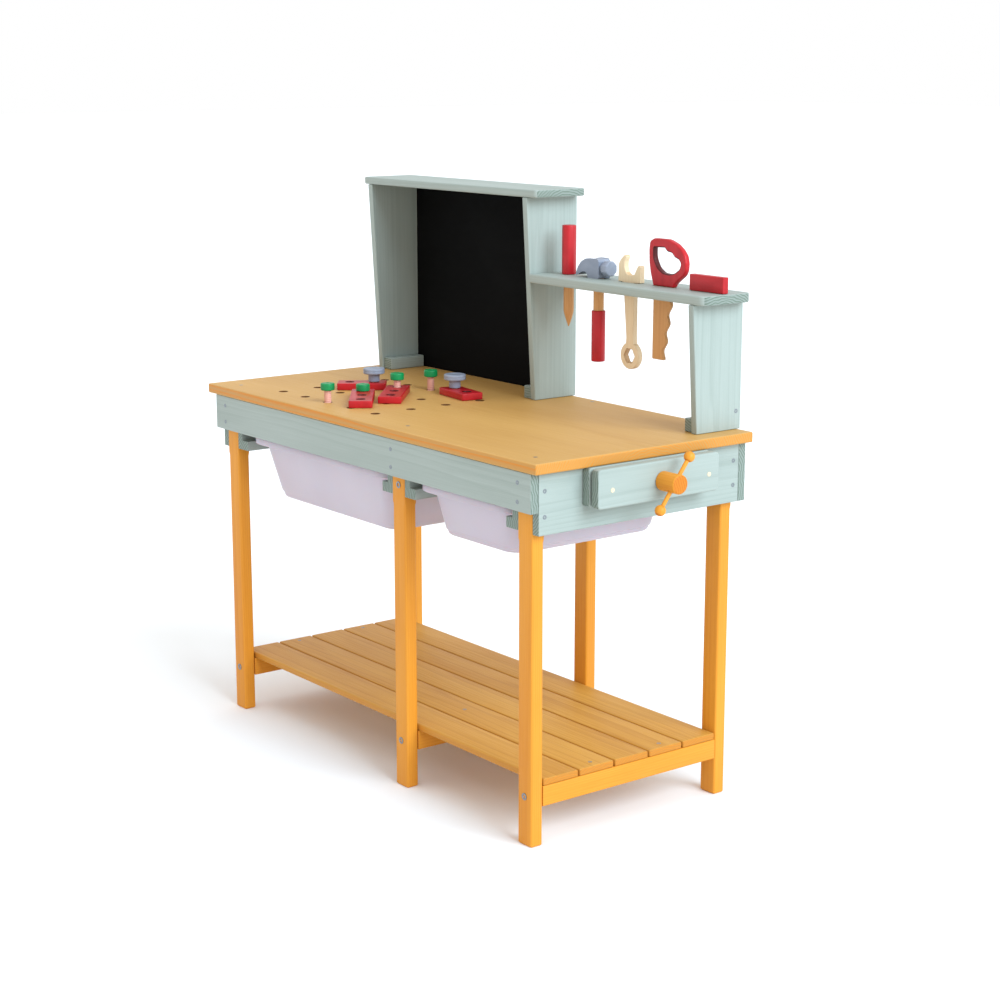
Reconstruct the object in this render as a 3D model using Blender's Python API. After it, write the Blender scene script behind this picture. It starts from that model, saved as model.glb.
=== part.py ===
"""A toy workbench with a chalkboard, a tool shelf, two tubs, a play vice and loose wooden tools.

The frame is metres with +Z up and +X along the worktop, towards the vice. Its origin is the middle
of the toy's footprint, on the floor. The sizes below are millimetres, measured from the worktop's
left front corner straight down on the floor; frame_points() turns them into the frame's metres.
"""
import math
from itertools import product

import bmesh
import bpy
import numpy as np

MM = 0.001

# Overall size and the gap that touching pieces keep
OVERALL = (1013.0, 439.0, 959.0)
GAP = 0.3
EASE = 1.2
ROUND_SIDES = 20

# Worktop and its grid of peg holes
WORKTOP_X = (0.0, 950.0)
WORKTOP_Y = (0.0, 436.0)
WORKTOP_TOP = 601.0
WORKTOP_THICK = 17.0
UNDERSIDE = WORKTOP_TOP - WORKTOP_THICK
PEG_COLUMNS = 5
PEG_ROWS = 4
PEG_FIRST = (163.0, 59.0)
PEG_PITCH = (72.0, 71.8)
PEG_HOLE_RADIUS = 7.5
WORKTOP_EASE = 2.5

# Frame under the worktop
BOARD = 15.0
FRAME_X = (24.0, 936.0)
FRONT_APRON_Y = 2.0
REAR_APRON_Y = 419.0
FRONT_APRON_BOTTOM = 523.5
APRON_BOTTOM = 489.0
LEG_X = {"left": 39.0, "middle": 560.0, "right": 887.0}
LEG_SIZE = (34.0, 22.5)
LEG_Y = {"front": FRONT_APRON_Y + BOARD, "rear": REAR_APRON_Y - LEG_SIZE[1]}
SOFT_EASE = 2.0

# Lower shelf
SLAT_COUNT = 5
SLAT_WIDTH = 68.4
SLAT_GAP = 3.0
SLAT_FIRST_Y = 41.0
SLAT_Z = (94.5, 106.0)
BEAM_Z = (62.0, 94.5)

# Rails that the tubs hang on
RAIL_SIDE = 14.0
RAIL_BOTTOM = 490.0
LEDGE_TOP = 507.0
LEDGES = {"tub_rail_1": 20.0, "tub_rail_2": 15.0, "tub_rail_3": 15.0, "tub_rail_4": 15.0}

# Tubs: rim box, bottom box, bottom height
TUB_TOP = 519.0
TUB_LIP = 12.0
TUB_WALL = 2.5
TUB_NECK = 15.0
TUB_FOOT = 8.0
TUB_BASE_CORNER = 32.0
TUB_RIM_CORNER = 48.0
TUBS = {
    "tub_left": ((98.0, 545.0), (18.0, 372.0), (130.0, 495.0), (63.0, 340.0), 408.0),
    "tub_right": ((609.0, 872.0), (18.0, 372.0), (645.0, 838.0), (49.0, 337.0), 436.5),
}

# Upper structure: chalkboard bay and tool shelf
PANEL = 12.5
PANEL_REAR = 439.0
PANEL_TOP = 946.0
TALL_PANEL_X = {"left_panel": 35.0, "middle_panel": 497.0}
TALL_PANEL_FRONT = (349.0, 329.0)
SHORT_PANEL_X = 904.5
SHORT_PANEL_TOP = 803.5
SHORT_PANEL_FRONT = (345.5, 333.3)
TOP_BOARD = ((20.0, 535.0), (329.0, 437.0), (PANEL_TOP, 959.0))
TOP_BOARD_CORNER = 8.0
TOOL_SHELF = ((509.5, 940.0), (334.0, 436.0), (SHORT_PANEL_TOP, 818.5))
TOOL_SHELF_CORNER = 14.0
CHALKBOARD_Y = (430.0, 435.0)
CHALKBOARD_EASE = 0.5
BATTEN = (23.0, 76.0, 22.0)
BATTEN_FRONT = 352.0

# Tools hang in the tool shelf along this line
TOOL_Y = 385.0
REST = TOOL_SHELF[2][1] + GAP
SHAFT_RADIUS = 8.75
SCREWDRIVER_X = 554.0
SCREWDRIVER_HANDLE = (12.0, 82.0)
SCREWDRIVER_SOCKET = 30.0
SCREWDRIVER_TIP = ((731.0, 0.6), (742.0, 5.0), (755.0, SHAFT_RADIUS))
SCREWDRIVER_HOLE = 9.8
HAMMER_X = 632.0
HAMMER_HALF = 12.5
HAMMER_SOCKET = 22.0
HAMMER_FACE_HEIGHT = 16.8
HAMMER_GRIP_RADIUS = 11.5
HAMMER_GRIP_Z = (680.0, 765.0)
HAMMER_STICK_END = 740.0
HAMMER_HOLE = 13.0
RING = (716.0, 699.0)
RING_RADIUS = 22.0
RING_HOLE = 12.0
WRENCH_SHAFT = 8.5
WRENCH_HALF = 5.0
SAW_X = 796.0
SAW_HALF = 5.0
SAW_BLADE_X = (778.0, 812.0)
SAW_BLADE_TOP = 831.0
SAW_BLADE_HALF = 3.0
SAW_BLADE_LENGTH = 118.0
SAW_TEETH = 4
SAW_WAVE = 2.8
SQUARE_X = (857.0, 933.0)
SQUARE_BLADE_X = (860.0, 882.0)
SQUARE_HEIGHT = 25.5
SQUARE_HALF = 5.8
SQUARE_BLADE_HALF = 3.0
SQUARE_BLADE_END = 725.0
SQUARE_SOCKET = 14.0
SLOT_CORNER = 3.0
TOOL_SLOTS = {"wrench": ((693.6, 738.4), 13.0), "saw": ((767.5, 819.5), 8.0),
              "square": ((858.0, 884.0), 9.0)}

# Side views of the flat tools: distance along X from the tool's own line, height above the shelf
HAMMER_BODY = ((11.0, 0.0), (12.5, 3.0), (12.5, 28.0), (9.0, 31.5), (-8.0, 31.5), (-20.0, 30.0),
               (-31.0, 24.5), (-39.0, 15.5), (-45.0, 1.0), (-38.0, 5.5), (-30.0, 10.0),
               (-22.0, 10.5), (-16.0, 8.0), (-13.0, 0.0))
HAMMER_FACE = ((4.0, 10.5), (17.0, 10.5), (19.5, 13.2), (29.5, 13.2), (32.0, 11.0))
WRENCH_JAW = ((24.3, 0.0), (24.3, 26.0), (22.0, 28.5), (18.0, 27.5), (14.0, 21.5), (9.5, 13.5),
              (5.5, 11.8), (-5.3, 11.6), (-11.0, 15.5), (-14.5, 24.0), (-14.0, 33.0),
              (-10.0, 41.5), (-15.1, 43.5), (-24.2, 36.0), (-29.5, 27.5), (-29.8, 0.0))
SAW_GRIP = ((-25.0, 0.0), (-32.0, 20.5), (-35.2, 37.0), (-36.0, 57.0), (-33.5, 66.0),
            (-27.0, 72.3), (-14.0, 75.0), (9.5, 75.2), (28.4, 68.7), (40.0, 61.0), (48.4, 51.7),
            (51.3, 39.4), (50.1, 28.1), (46.0, 20.5), (33.1, 11.3), (24.9, 5.0), (22.0, 0.0))
SAW_FINGER = ((-23.0, 60.0), (1.9, 61.3), (8.0, 55.6), (19.8, 54.9), (26.2, 49.1), (33.5, 45.4),
              (38.9, 40.2), (36.5, 31.7), (22.3, 23.8), (13.0, 20.9), (0.4, 21.3), (-12.4, 27.3),
              (-20.0, 35.3), (-24.1, 47.7))

# Strips with two or three holes, and the bolts that stand in them
STRIP_WIDTH = 40.0
STRIP_THICK = 12.0
STRIP_PITCH = 43.0
STRIP_HOLE_RADIUS = 7.8
STRIP_CORNER = 2.0
STRIP_BOTTOM = WORKTOP_TOP + GAP
STRIP_TOP = STRIP_BOTTOM + STRIP_THICK
BOLT_STEM_RADIUS = 6.2
BOLT_STEM = 43.0
GREEN_HEAD = (12.0, 12.0)
GREY_HEAD = (19.0, 9.5)
COLLAR = (10.0, 14.0)
GREEN_RAISED = {0: 21.0, 2: 25.0, 3: 24.0}
GREY_RAISED = 27.5

# Vice
JAW_Y = (99.0, 342.0)
JAW_Z = (523.5, 584.0)
BACK_JAW_X = (936.0, 952.0)
FRONT_JAW_X = (957.0, 973.0)
JAW_CORNER = 6.0
JAW_EASE = 1.5
SCREW_Y = 225.5
SCREW_Z = 553.0
HUB_RADIUS = 15.0
HUB_EASE = (1.5, 2.5)
SPINDLE_RADIUS = 8.0
SPINDLE_END = 892.5
HOLE_PLAY = 0.5
GUIDE_Y = (127.0, 321.0)
GUIDE_Z = 551.0
GUIDE_RADIUS = 4.0
GUIDE_SOCKET = 10.3
BAR_X = 1000.0
BAR_TILT = math.radians(37.0)
BAR_RADIUS = 3.25
BAR_BALL_RADIUS = 8.5
BAR_BALL_REACH = 47.0
BALL_STEPS = 6


# Materials

def material(name, colour, roughness, metallic=0.0):
    """A Principled material of one colour."""
    made = bpy.data.materials.new(name)
    made.use_nodes = True
    shader = made.node_tree.nodes["Principled BSDF"]
    shader.inputs["Base Color"].default_value = (*colour, 1.0)
    shader.inputs["Roughness"].default_value = roughness
    shader.inputs["Metallic"].default_value = metallic
    return made


def make_materials():
    """Every finish on the toy, by name."""
    return {
        "stained_pine": material("stained_pine", (0.80, 0.42, 0.07), 0.50),
        "teal_paint": material("teal_paint", (0.40, 0.54, 0.53), 0.55),
        "tub_plastic": material("tub_plastic", (0.62, 0.58, 0.66), 0.35),
        "chalkboard": material("chalkboard", (0.010, 0.010, 0.011), 0.60),
        "red_paint": material("red_paint", (0.52, 0.02, 0.03), 0.35),
        "green_paint": material("green_paint", (0.01, 0.30, 0.12), 0.35),
        "grey_paint": material("grey_paint", (0.36, 0.41, 0.47), 0.40),
        "beech": material("beech", (0.62, 0.36, 0.18), 0.55),
        "pale_beech": material("pale_beech", (0.78, 0.62, 0.45), 0.55),
    }


# Building blocks

def frame_points(points):
    """Bench millimetres as metres in the toy's own frame."""
    return (np.asarray(points, float) - (OVERALL[0] / 2, OVERALL[1] / 2, 0.0)) * MM


def add_piece(name, points, faces, finish, origin=None):
    """One closed mesh object. Its origin is the given bench point, or the middle of its box."""
    points = np.asarray(points, float)
    if origin is None:
        origin = (points.min(axis=0) + points.max(axis=0)) / 2
    place = frame_points(origin)
    mesh = bpy.data.meshes.new(name)
    mesh.from_pydata((frame_points(points) - place).tolist(), [], faces)
    work = bmesh.new()
    work.from_mesh(mesh)
    bmesh.ops.recalc_face_normals(work, faces=work.faces)
    work.to_mesh(mesh)
    work.free()
    mesh.shade_smooth()
    mesh.set_sharp_from_angle(angle=math.radians(35))
    if finish is not None:
        mesh.materials.append(finish)
    piece = bpy.data.objects.new(name, mesh)
    piece.location = place
    bpy.context.scene.collection.objects.link(piece)
    return piece


def lofted(name, loops, finish, origin=None):
    """A closed solid through loops of equally many points, with a flat cap on both ends."""
    loops = np.asarray(loops, float)
    count, around = loops.shape[:2]
    faces = []
    for level in range(count - 1):
        low = level * around
        for i in range(around):
            j = (i + 1) % around
            faces.append((low + i, low + j, low + around + j, low + around + i))
    faces.append(tuple(range(around)))
    faces.append(tuple(range((count - 1) * around, count * around)))
    return add_piece(name, loops.reshape(-1, 3), faces, finish, origin)


def extruded(name, outline, axis, span, finish, origin=None):
    """An outline in the two axes across `axis`, carried along it from span[0] to span[1]."""
    outline = np.asarray(outline, float)
    loops = np.empty((2, len(outline), 3))
    across = [i for i in range(3) if i != "xyz".index(axis)]
    for loop, along in zip(loops, span):
        loop[:, across] = outline
        loop[:, "xyz".index(axis)] = along
    return lofted(name, loops, finish, origin)


def turned(name, profile, centre, direction, finish, origin=None, sides=ROUND_SIDES):
    """A lathe-turned solid. The profile holds (distance along the axis, radius) from end to end."""
    direction = np.asarray(direction, float) / np.linalg.norm(direction)
    helper = np.eye(3)[np.argmin(np.abs(direction))]
    side = np.cross(direction, helper)
    side /= np.linalg.norm(side)
    other = np.cross(direction, side)
    angle = np.arange(sides) * 2 * np.pi / sides
    ring = np.outer(np.cos(angle), side) + np.outer(np.sin(angle), other)
    loops = [np.asarray(centre) + along * direction + radius * ring for along, radius in profile]
    return lofted(name, loops, finish, origin)


def board(name, x, y, z, finish, ease=EASE, stands=False):
    """A sawn board between two corners, less half the gap on every face, with eased edges."""
    low = np.array([x[0], y[0], z[0]]) + GAP / 2
    high = np.array([x[1], y[1], z[1]]) - GAP / 2
    if stands:
        low[2] = z[0]
    corners = [np.where(pick, high, low) for pick in product((0, 1), repeat=3)]
    faces = [(0, 1, 3, 2), (4, 6, 7, 5), (0, 4, 5, 1), (2, 3, 7, 6), (0, 2, 6, 4), (1, 5, 7, 3)]
    piece = add_piece(name, corners, faces, finish)
    bevel(piece, ease)
    return piece


def bevel(piece, width, segments=1):
    """Chamfer or round every sharp edge."""
    ease = piece.modifiers.new("ease", "BEVEL")
    ease.width = width * MM
    ease.segments = segments
    ease.limit_method = "ANGLE"


def cut(piece, cutter):
    """Take a cutter's shape out of a piece."""
    cutter.hide_render = True
    cutter.display_type = "WIRE"
    boolean = piece.modifiers.new("cut", "BOOLEAN")
    boolean.operation = "DIFFERENCE"
    boolean.solver = "EXACT"
    boolean.object = cutter


def join_shape(piece, extra):
    """Add a second shape to a piece, as one body."""
    extra.hide_render = True
    extra.display_type = "WIRE"
    boolean = piece.modifiers.new("join", "BOOLEAN")
    boolean.operation = "UNION"
    boolean.solver = "EXACT"
    boolean.object = extra


def drill(piece, centres, direction, radius, length, sides=16):
    """Round holes through a piece, `length` long and centred on each point."""
    direction = np.asarray(direction, float) / np.linalg.norm(direction)
    for i, centre in enumerate(centres):
        name = f"{piece.name}_drill_{len(piece.modifiers)}_{i}"
        start = np.asarray(centre, float) - direction * length / 2
        cut(piece, turned(name, [(0, radius), (length, radius)], start, direction, None, sides=sides))


def arc(centre, radius, start, end, steps):
    """Points along a circular arc, angles in degrees."""
    angle = np.radians(np.linspace(start, end, steps + 1))
    return np.column_stack([centre[0] + radius * np.cos(angle), centre[1] + radius * np.sin(angle)])


def rounded_outline(a, b, radii, steps=4):
    """A rectangle a[0]..a[1] by b[0]..b[1] with its own radius at each corner, anticlockwise from
    the corner of the low a and the low b."""
    corners = [(a[0], b[0], 1, 1, 180), (a[1], b[0], -1, 1, 270), (a[1], b[1], -1, -1, 0),
               (a[0], b[1], 1, -1, 90)]
    runs = []
    for (u, v, du, dv, start), radius in zip(corners, radii):
        if radius:
            runs.append(arc((u + du * radius, v + dv * radius), radius, start, start + 90, steps))
        else:
            runs.append(np.array([[u, v]]))
    return np.vstack(runs)


def smooth_outline(points, steps=3):
    """A closed Catmull-Rom curve through the points."""
    points = np.asarray(points, float)
    t = np.arange(steps)[:, None] / steps
    runs = []
    for i in range(len(points)):
        p0, p1, p2, p3 = (points[(i + k) % len(points)] for k in (-1, 0, 1, 2))
        runs.append(0.5 * (2 * p1 + (p2 - p0) * t + (2 * p0 - 5 * p1 + 4 * p2 - p3) * t ** 2
                           + (3 * p1 - p0 - 3 * p2 + p3) * t ** 3))
    return np.vstack(runs)


# Worktop and the frame under it

def peg_point(column, row, height=WORKTOP_TOP):
    """The middle of one peg hole."""
    return (PEG_FIRST[0] + column * PEG_PITCH[0], PEG_FIRST[1] + row * PEG_PITCH[1], height)


def make_worktop(finish):
    """The top board with its five by four peg holes."""
    worktop = board("worktop", WORKTOP_X, WORKTOP_Y, (UNDERSIDE, WORKTOP_TOP), finish,
                    ease=WORKTOP_EASE)
    middle = UNDERSIDE + WORKTOP_THICK / 2
    holes = [peg_point(c, r, middle) for c, r in product(range(PEG_COLUMNS), range(PEG_ROWS))]
    drill(worktop, holes, (0, 0, 1), PEG_HOLE_RADIUS, 3 * WORKTOP_THICK)


def make_aprons(finish):
    """The front, rear and end boards of the frame. The right end board carries the vice."""
    front = (FRONT_APRON_Y, FRONT_APRON_Y + BOARD)
    rear = (REAR_APRON_Y, REAR_APRON_Y + BOARD)
    between = (front[1], rear[0])
    full = (APRON_BOTTOM, UNDERSIDE)
    board("front_apron", FRAME_X, front, (FRONT_APRON_BOTTOM, UNDERSIDE), finish)
    board("rear_apron", FRAME_X, rear, full, finish)
    board("left_end_board", (FRAME_X[0], FRAME_X[0] + BOARD), between, full, finish)
    right = board("right_end_board", (FRAME_X[1] - BOARD, FRAME_X[1]), between, full, finish)
    drill_vice_holes(right, FRAME_X[1] - BOARD / 2)


def make_legs(finish):
    """Six legs, front and rear, standing on the floor."""
    for side, y in LEG_Y.items():
        for place, x in LEG_X.items():
            board(f"leg_{side}_{place}", (x, x + LEG_SIZE[0]), (y, y + LEG_SIZE[1]),
                  (0.0, UNDERSIDE), finish, ease=SOFT_EASE, stands=True)


def make_lower_shelf(finish):
    """Five slats on three beams, which run between the front and rear legs."""
    length = (LEG_X["left"], LEG_X["right"] + LEG_SIZE[0])
    for i in range(SLAT_COUNT):
        y = SLAT_FIRST_Y + i * (SLAT_WIDTH + SLAT_GAP)
        board(f"shelf_slat_{i + 1}", length, (y, y + SLAT_WIDTH), SLAT_Z, finish,
              ease=SOFT_EASE)
    reach = (LEG_Y["front"] + LEG_SIZE[1], LEG_Y["rear"])
    for place, x in LEG_X.items():
        board(f"shelf_beam_{place}", (x, x + LEG_SIZE[0]), reach, BEAM_Z, finish)


def make_tub_rails(finish):
    """Four L-shaped rails: a side board with a ledge that a tub's rim slides on."""
    left, middle, right = (LEG_X[k] for k in ("left", "middle", "right"))
    sides = ((left + LEG_SIZE[0], 1), (middle, -1), (middle + LEG_SIZE[0], 1), (right, -1))
    h = GAP / 2
    run = (FRONT_APRON_Y + BOARD + h, REAR_APRON_Y - h)
    for (name, ledge), (face, way) in zip(LEDGES.items(), sides):
        outline = [(0, RAIL_BOTTOM), (RAIL_SIDE + ledge, RAIL_BOTTOM), (RAIL_SIDE + ledge, LEDGE_TOP),
                   (RAIL_SIDE, LEDGE_TOP), (RAIL_SIDE, UNDERSIDE - h), (0, UNDERSIDE - h)]
        section = [(face + way * (u + h), v) for u, v in outline]
        extruded(name, section, "y", run, finish)


# Tubs

def tub_loop(x, y, inset, radius, height):
    """One rounded-rectangle loop of a tub, moved inwards by inset."""
    outline = rounded_outline((x[0] + inset, x[1] - inset), (y[0] + inset, y[1] - inset),
                              [radius] * 4)
    return np.column_stack([outline, np.full(len(outline), height)])


def make_tub(name, rim_x, rim_y, base_x, base_y, bottom, finish):
    """An open plastic tub: tapered walls and a rim whose lip turns down and rides on the rails."""
    wall, neck = TUB_WALL, TUB_NECK
    base, rim = TUB_BASE_CORNER, TUB_RIM_CORNER
    under = TUB_TOP - wall
    edge = TUB_TOP - TUB_LIP + GAP
    foot = TUB_FOOT - 1.0
    loops = [
        tub_loop(base_x, base_y, foot, base - foot, bottom),
        tub_loop(base_x, base_y, 0.0, base, bottom + TUB_FOOT),
        tub_loop(rim_x, rim_y, neck, rim - neck, under),
        tub_loop(rim_x, rim_y, wall, rim - wall, under),
        tub_loop(rim_x, rim_y, wall, rim - wall, edge),
        tub_loop(rim_x, rim_y, 0.0, rim, edge),
        tub_loop(rim_x, rim_y, 0.0, rim, TUB_TOP - 1.0),
        tub_loop(rim_x, rim_y, 1.0, rim - 1.0, TUB_TOP),
        tub_loop(rim_x, rim_y, neck + wall, rim - neck - wall, TUB_TOP),
        tub_loop(base_x, base_y, wall, base - wall, bottom + wall + foot),
        tub_loop(base_x, base_y, foot + wall, base - foot - wall, bottom + wall),
    ]
    lofted(name, loops, finish)


def make_tubs(finish):
    """The two tubs of different size and depth."""
    for name, (rim_x, rim_y, base_x, base_y, bottom) in TUBS.items():
        make_tub(name, rim_x, rim_y, base_x, base_y, bottom, finish)


# Upper structure

def make_panel(name, x, top, front, finish):
    """An upright panel whose front edge leans forwards as it rises."""
    h = GAP / 2
    outline = [(front[0], WORKTOP_TOP + h), (PANEL_REAR - h, WORKTOP_TOP + h),
               (PANEL_REAR - h, top - h), (front[1], top - h)]
    panel = extruded(name, outline, "x", (x + h, x + PANEL - h), finish)
    bevel(panel, EASE)


def make_upper_structure(finish):
    """Three upright panels, the top board, the tool shelf and the battens at the panels' feet."""
    for name, x in TALL_PANEL_X.items():
        make_panel(name, x, PANEL_TOP, TALL_PANEL_FRONT, finish)
    make_panel("short_panel", SHORT_PANEL_X, SHORT_PANEL_TOP, SHORT_PANEL_FRONT, finish)
    h = GAP / 2
    x, y, z = TOP_BOARD
    plan = rounded_outline(x, y, (TOP_BOARD_CORNER,) * 4, steps=3)
    bevel(extruded("top_board", plan, "z", (z[0] + h, z[1]), finish), EASE)
    make_tool_shelf(finish)
    left = TALL_PANEL_X["left_panel"] + PANEL
    middle = TALL_PANEL_X["middle_panel"] - BATTEN[0]
    right = SHORT_PANEL_X - BATTEN[0]
    for name, start in (("foot_batten_left", left), ("foot_batten_middle", middle),
                        ("foot_batten_right", right)):
        board(name, (start, start + BATTEN[0]), (BATTEN_FRONT, BATTEN_FRONT + BATTEN[1]),
              (WORKTOP_TOP, WORKTOP_TOP + BATTEN[2]), finish)


def make_tool_shelf(finish):
    """The shelf with round holes for turned handles and slots for the flat tools."""
    h = GAP / 2
    x, y, z = TOOL_SHELF
    corner = TOOL_SHELF_CORNER
    plan = rounded_outline((x[0] + h, x[1]), y, (0.0, corner, corner, 0.0))
    shelf = extruded("tool_shelf", plan, "z", (z[0] + h, z[1] - h), finish)
    bevel(shelf, EASE)
    middle = (z[0] + z[1]) / 2
    deep = 3 * (z[1] - z[0])
    for x, radius in ((SCREWDRIVER_X, SCREWDRIVER_HOLE), (HAMMER_X, HAMMER_HOLE)):
        drill(shelf, [(x, TOOL_Y, middle)], (0, 0, 1), radius, deep, ROUND_SIDES)
    reach = (middle - deep / 2, middle + deep / 2)
    for tool, (run, width) in TOOL_SLOTS.items():
        sides = (TOOL_Y - width / 2, TOOL_Y + width / 2)
        outline = rounded_outline(run, sides, (SLOT_CORNER,) * 4, steps=2)
        cut(shelf, extruded(f"{tool}_slot_cutter", outline, "z", reach, None))


def make_chalkboard(finish):
    """The black writing panel between the two tall panels."""
    left = TALL_PANEL_X["left_panel"] + PANEL
    board("chalkboard", (left, TALL_PANEL_X["middle_panel"]), CHALKBOARD_Y,
          (WORKTOP_TOP, PANEL_TOP), finish, ease=CHALKBOARD_EASE)


# Vice

def drill_vice_holes(piece, x):
    """The holes for the vice's screw and its two guide dowels, through a piece at x."""
    drill(piece, [(x, SCREW_Y, SCREW_Z)], (1, 0, 0), SPINDLE_RADIUS + HOLE_PLAY, 2 * BOARD)
    guides = [(x, y, GUIDE_Z) for y in GUIDE_Y]
    drill(piece, guides, (1, 0, 0), GUIDE_RADIUS + HOLE_PLAY, 2 * BOARD)


def jaw(name, x, finish):
    """A jaw board with rounded corners."""
    h = GAP / 2
    outline = rounded_outline(JAW_Y, (JAW_Z[0], JAW_Z[1] - h), (JAW_CORNER,) * 4)
    piece = extruded(name, outline, "x", (x[0] + h, x[1] - h), finish)
    bevel(piece, JAW_EASE)
    return piece


def make_jaws(finish):
    """The jaw that is fixed to the frame, and the one that the screw moves."""
    back = jaw("vice_back_jaw", BACK_JAW_X, finish)
    drill_vice_holes(back, sum(BACK_JAW_X) / 2)
    front = jaw("vice_front_jaw", FRONT_JAW_X, finish)
    middle = sum(FRONT_JAW_X) / 2
    drill(front, [(middle, SCREW_Y, SCREW_Z)], (1, 0, 0), SPINDLE_RADIUS + HOLE_PLAY, 2 * BOARD)
    sockets = [(FRONT_JAW_X[0], y, GUIDE_Z) for y in GUIDE_Y]
    drill(front, sockets, (1, 0, 0), GUIDE_RADIUS + GAP, 2 * GUIDE_SOCKET)


def make_guides(finish):
    """Two dowels in the front jaw, which slide in the back jaw and the end board."""
    for name, y in zip(("vice_guide_front", "vice_guide_rear"), GUIDE_Y):
        length = FRONT_JAW_X[0] + GUIDE_SOCKET - GAP - SPINDLE_END
        turned(name, [(0, GUIDE_RADIUS - 1), (1, GUIDE_RADIUS), (length, GUIDE_RADIUS)],
               (SPINDLE_END, y, GUIDE_Z), (1, 0, 0), finish, sides=12)


def make_screw(finish):
    """The vice's wooden screw: a spindle and a round hub, turned from one piece about +X."""
    start = (0.0, SCREW_Y, SCREW_Z)
    hub = FRONT_JAW_X[1] + GAP
    end = OVERALL[0]
    rear, front = HUB_EASE
    profile = [(SPINDLE_END, SPINDLE_RADIUS - rear), (SPINDLE_END + rear, SPINDLE_RADIUS),
               (hub, SPINDLE_RADIUS), (hub, HUB_RADIUS - rear), (hub + rear, HUB_RADIUS),
               (end - front, HUB_RADIUS), (end, HUB_RADIUS - front)]
    screw = turned("vice_screw", profile, start, (1, 0, 0), finish,
                   origin=(FRONT_JAW_X[1], SCREW_Y, SCREW_Z))
    drill(screw, [(BAR_X, SCREW_Y, SCREW_Z)], bar_direction(), BAR_RADIUS + GAP,
          4 * HUB_RADIUS, 12)


def bar_direction():
    """The way that the tommy bar points, across the screw."""
    return (0.0, math.sin(BAR_TILT), math.cos(BAR_TILT))


def make_tommy_bar(finish):
    """A rod with a ball turned on each end, fixed in the middle of its length in the hub."""
    neck = math.asin(BAR_RADIUS / BAR_BALL_RADIUS)
    angle = np.linspace(neck / 3, math.pi - neck, BALL_STEPS)
    low = [(-BAR_BALL_REACH - BAR_BALL_RADIUS * math.cos(a), BAR_BALL_RADIUS * math.sin(a))
           for a in angle]
    high = [(-along, radius) for along, radius in reversed(low)]
    turned("vice_tommy_bar", low + high, (BAR_X, SCREW_Y, SCREW_Z), bar_direction(), finish,
           origin=(BAR_X, SCREW_Y, SCREW_Z), sides=12)


# Tools

def stick(name, x, profile, finish, sides=ROUND_SIDES):
    """A turned piece that hangs upright on the tools' line; the profile's heights are absolute."""
    return turned(name, profile, (x, TOOL_Y, 0.0), (0, 0, 1), finish,
                  origin=(x, TOOL_Y, REST), sides=sides)


def side_view(points, x):
    """A tool's side view, moved from its own line and the shelf's top to the bench's (x, z)."""
    return np.array(points) + (x, REST)


def make_screwdriver(handle_finish, blade_finish):
    """A round handle on the shelf and a tapered blade that hangs below it."""
    radius, height = SCREWDRIVER_HANDLE
    top = REST + height
    socket = REST + SCREWDRIVER_SOCKET
    bore = SHAFT_RADIUS + GAP
    stick("screwdriver_handle", SCREWDRIVER_X,
          [(top, radius - EASE), (top - EASE, radius), (REST + EASE, radius),
           (REST, radius - EASE), (REST, bore), (socket, bore)], handle_finish)
    stick("screwdriver_blade", SCREWDRIVER_X,
          list(SCREWDRIVER_TIP) + [(socket - GAP, SHAFT_RADIUS)], blade_finish)


def make_hammer(head_finish, handle_finish, grip_finish):
    """A head with a claw and an eight-sided face, on a stick with a thicker grip."""
    x = HAMMER_X
    bore = SHAFT_RADIUS + GAP
    socket = REST + HAMMER_SOCKET
    sides = (TOOL_Y - HAMMER_HALF, TOOL_Y + HAMMER_HALF)
    head = extruded("hammer_head", side_view(HAMMER_BODY, x), "y", sides, head_finish,
                    origin=(x, TOOL_Y, REST))
    face_line = (x, TOOL_Y, REST + HAMMER_FACE_HEIGHT)
    join_shape(head, turned("hammer_face", HAMMER_FACE, face_line, (1, 0, 0), None, sides=8))
    drill(head, [(x, TOOL_Y, REST)], (0, 0, 1), bore, 2 * HAMMER_SOCKET, ROUND_SIDES)
    stick("hammer_handle", x, [(HAMMER_STICK_END, SHAFT_RADIUS), (socket - GAP, SHAFT_RADIUS)],
          handle_finish)
    low, high = HAMMER_GRIP_Z
    radius = HAMMER_GRIP_RADIUS
    stick("hammer_grip", x,
          [(low, radius - EASE), (low + EASE, radius), (high - EASE, radius),
           (high, radius - EASE), (high, bore), (HAMMER_STICK_END - GAP, bore)], grip_finish)


def make_wrench(finish):
    """A flat spanner: a ring with a six-sided hole below, and an open jaw above the shelf."""
    x, ring = RING
    shoulder = ring + 1.1 * RING_RADIUS
    ring_arc = arc(RING, RING_RADIUS, 115.0, 425.0, 20)
    right = [(x + WRENCH_SHAFT, shoulder), (x + WRENCH_SHAFT, REST)]
    left = [(x - 2 * WRENCH_SHAFT, REST), (x - WRENCH_SHAFT, shoulder)]
    outline = np.vstack([ring_arc, right, side_view(WRENCH_JAW, x), left])
    sides = (TOOL_Y - WRENCH_HALF, TOOL_Y + WRENCH_HALF)
    wrench = extruded("wrench", outline, "y", sides, finish, origin=(x, TOOL_Y, REST))
    bevel(wrench, EASE)
    hexagon = arc(RING, RING_HOLE, 30.0, 330.0, 5)
    through = (TOOL_Y - 2 * WRENCH_HALF, TOOL_Y + 2 * WRENCH_HALF)
    cut(wrench, extruded("wrench_hole_cutter", hexagon, "y", through, None))


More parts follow.
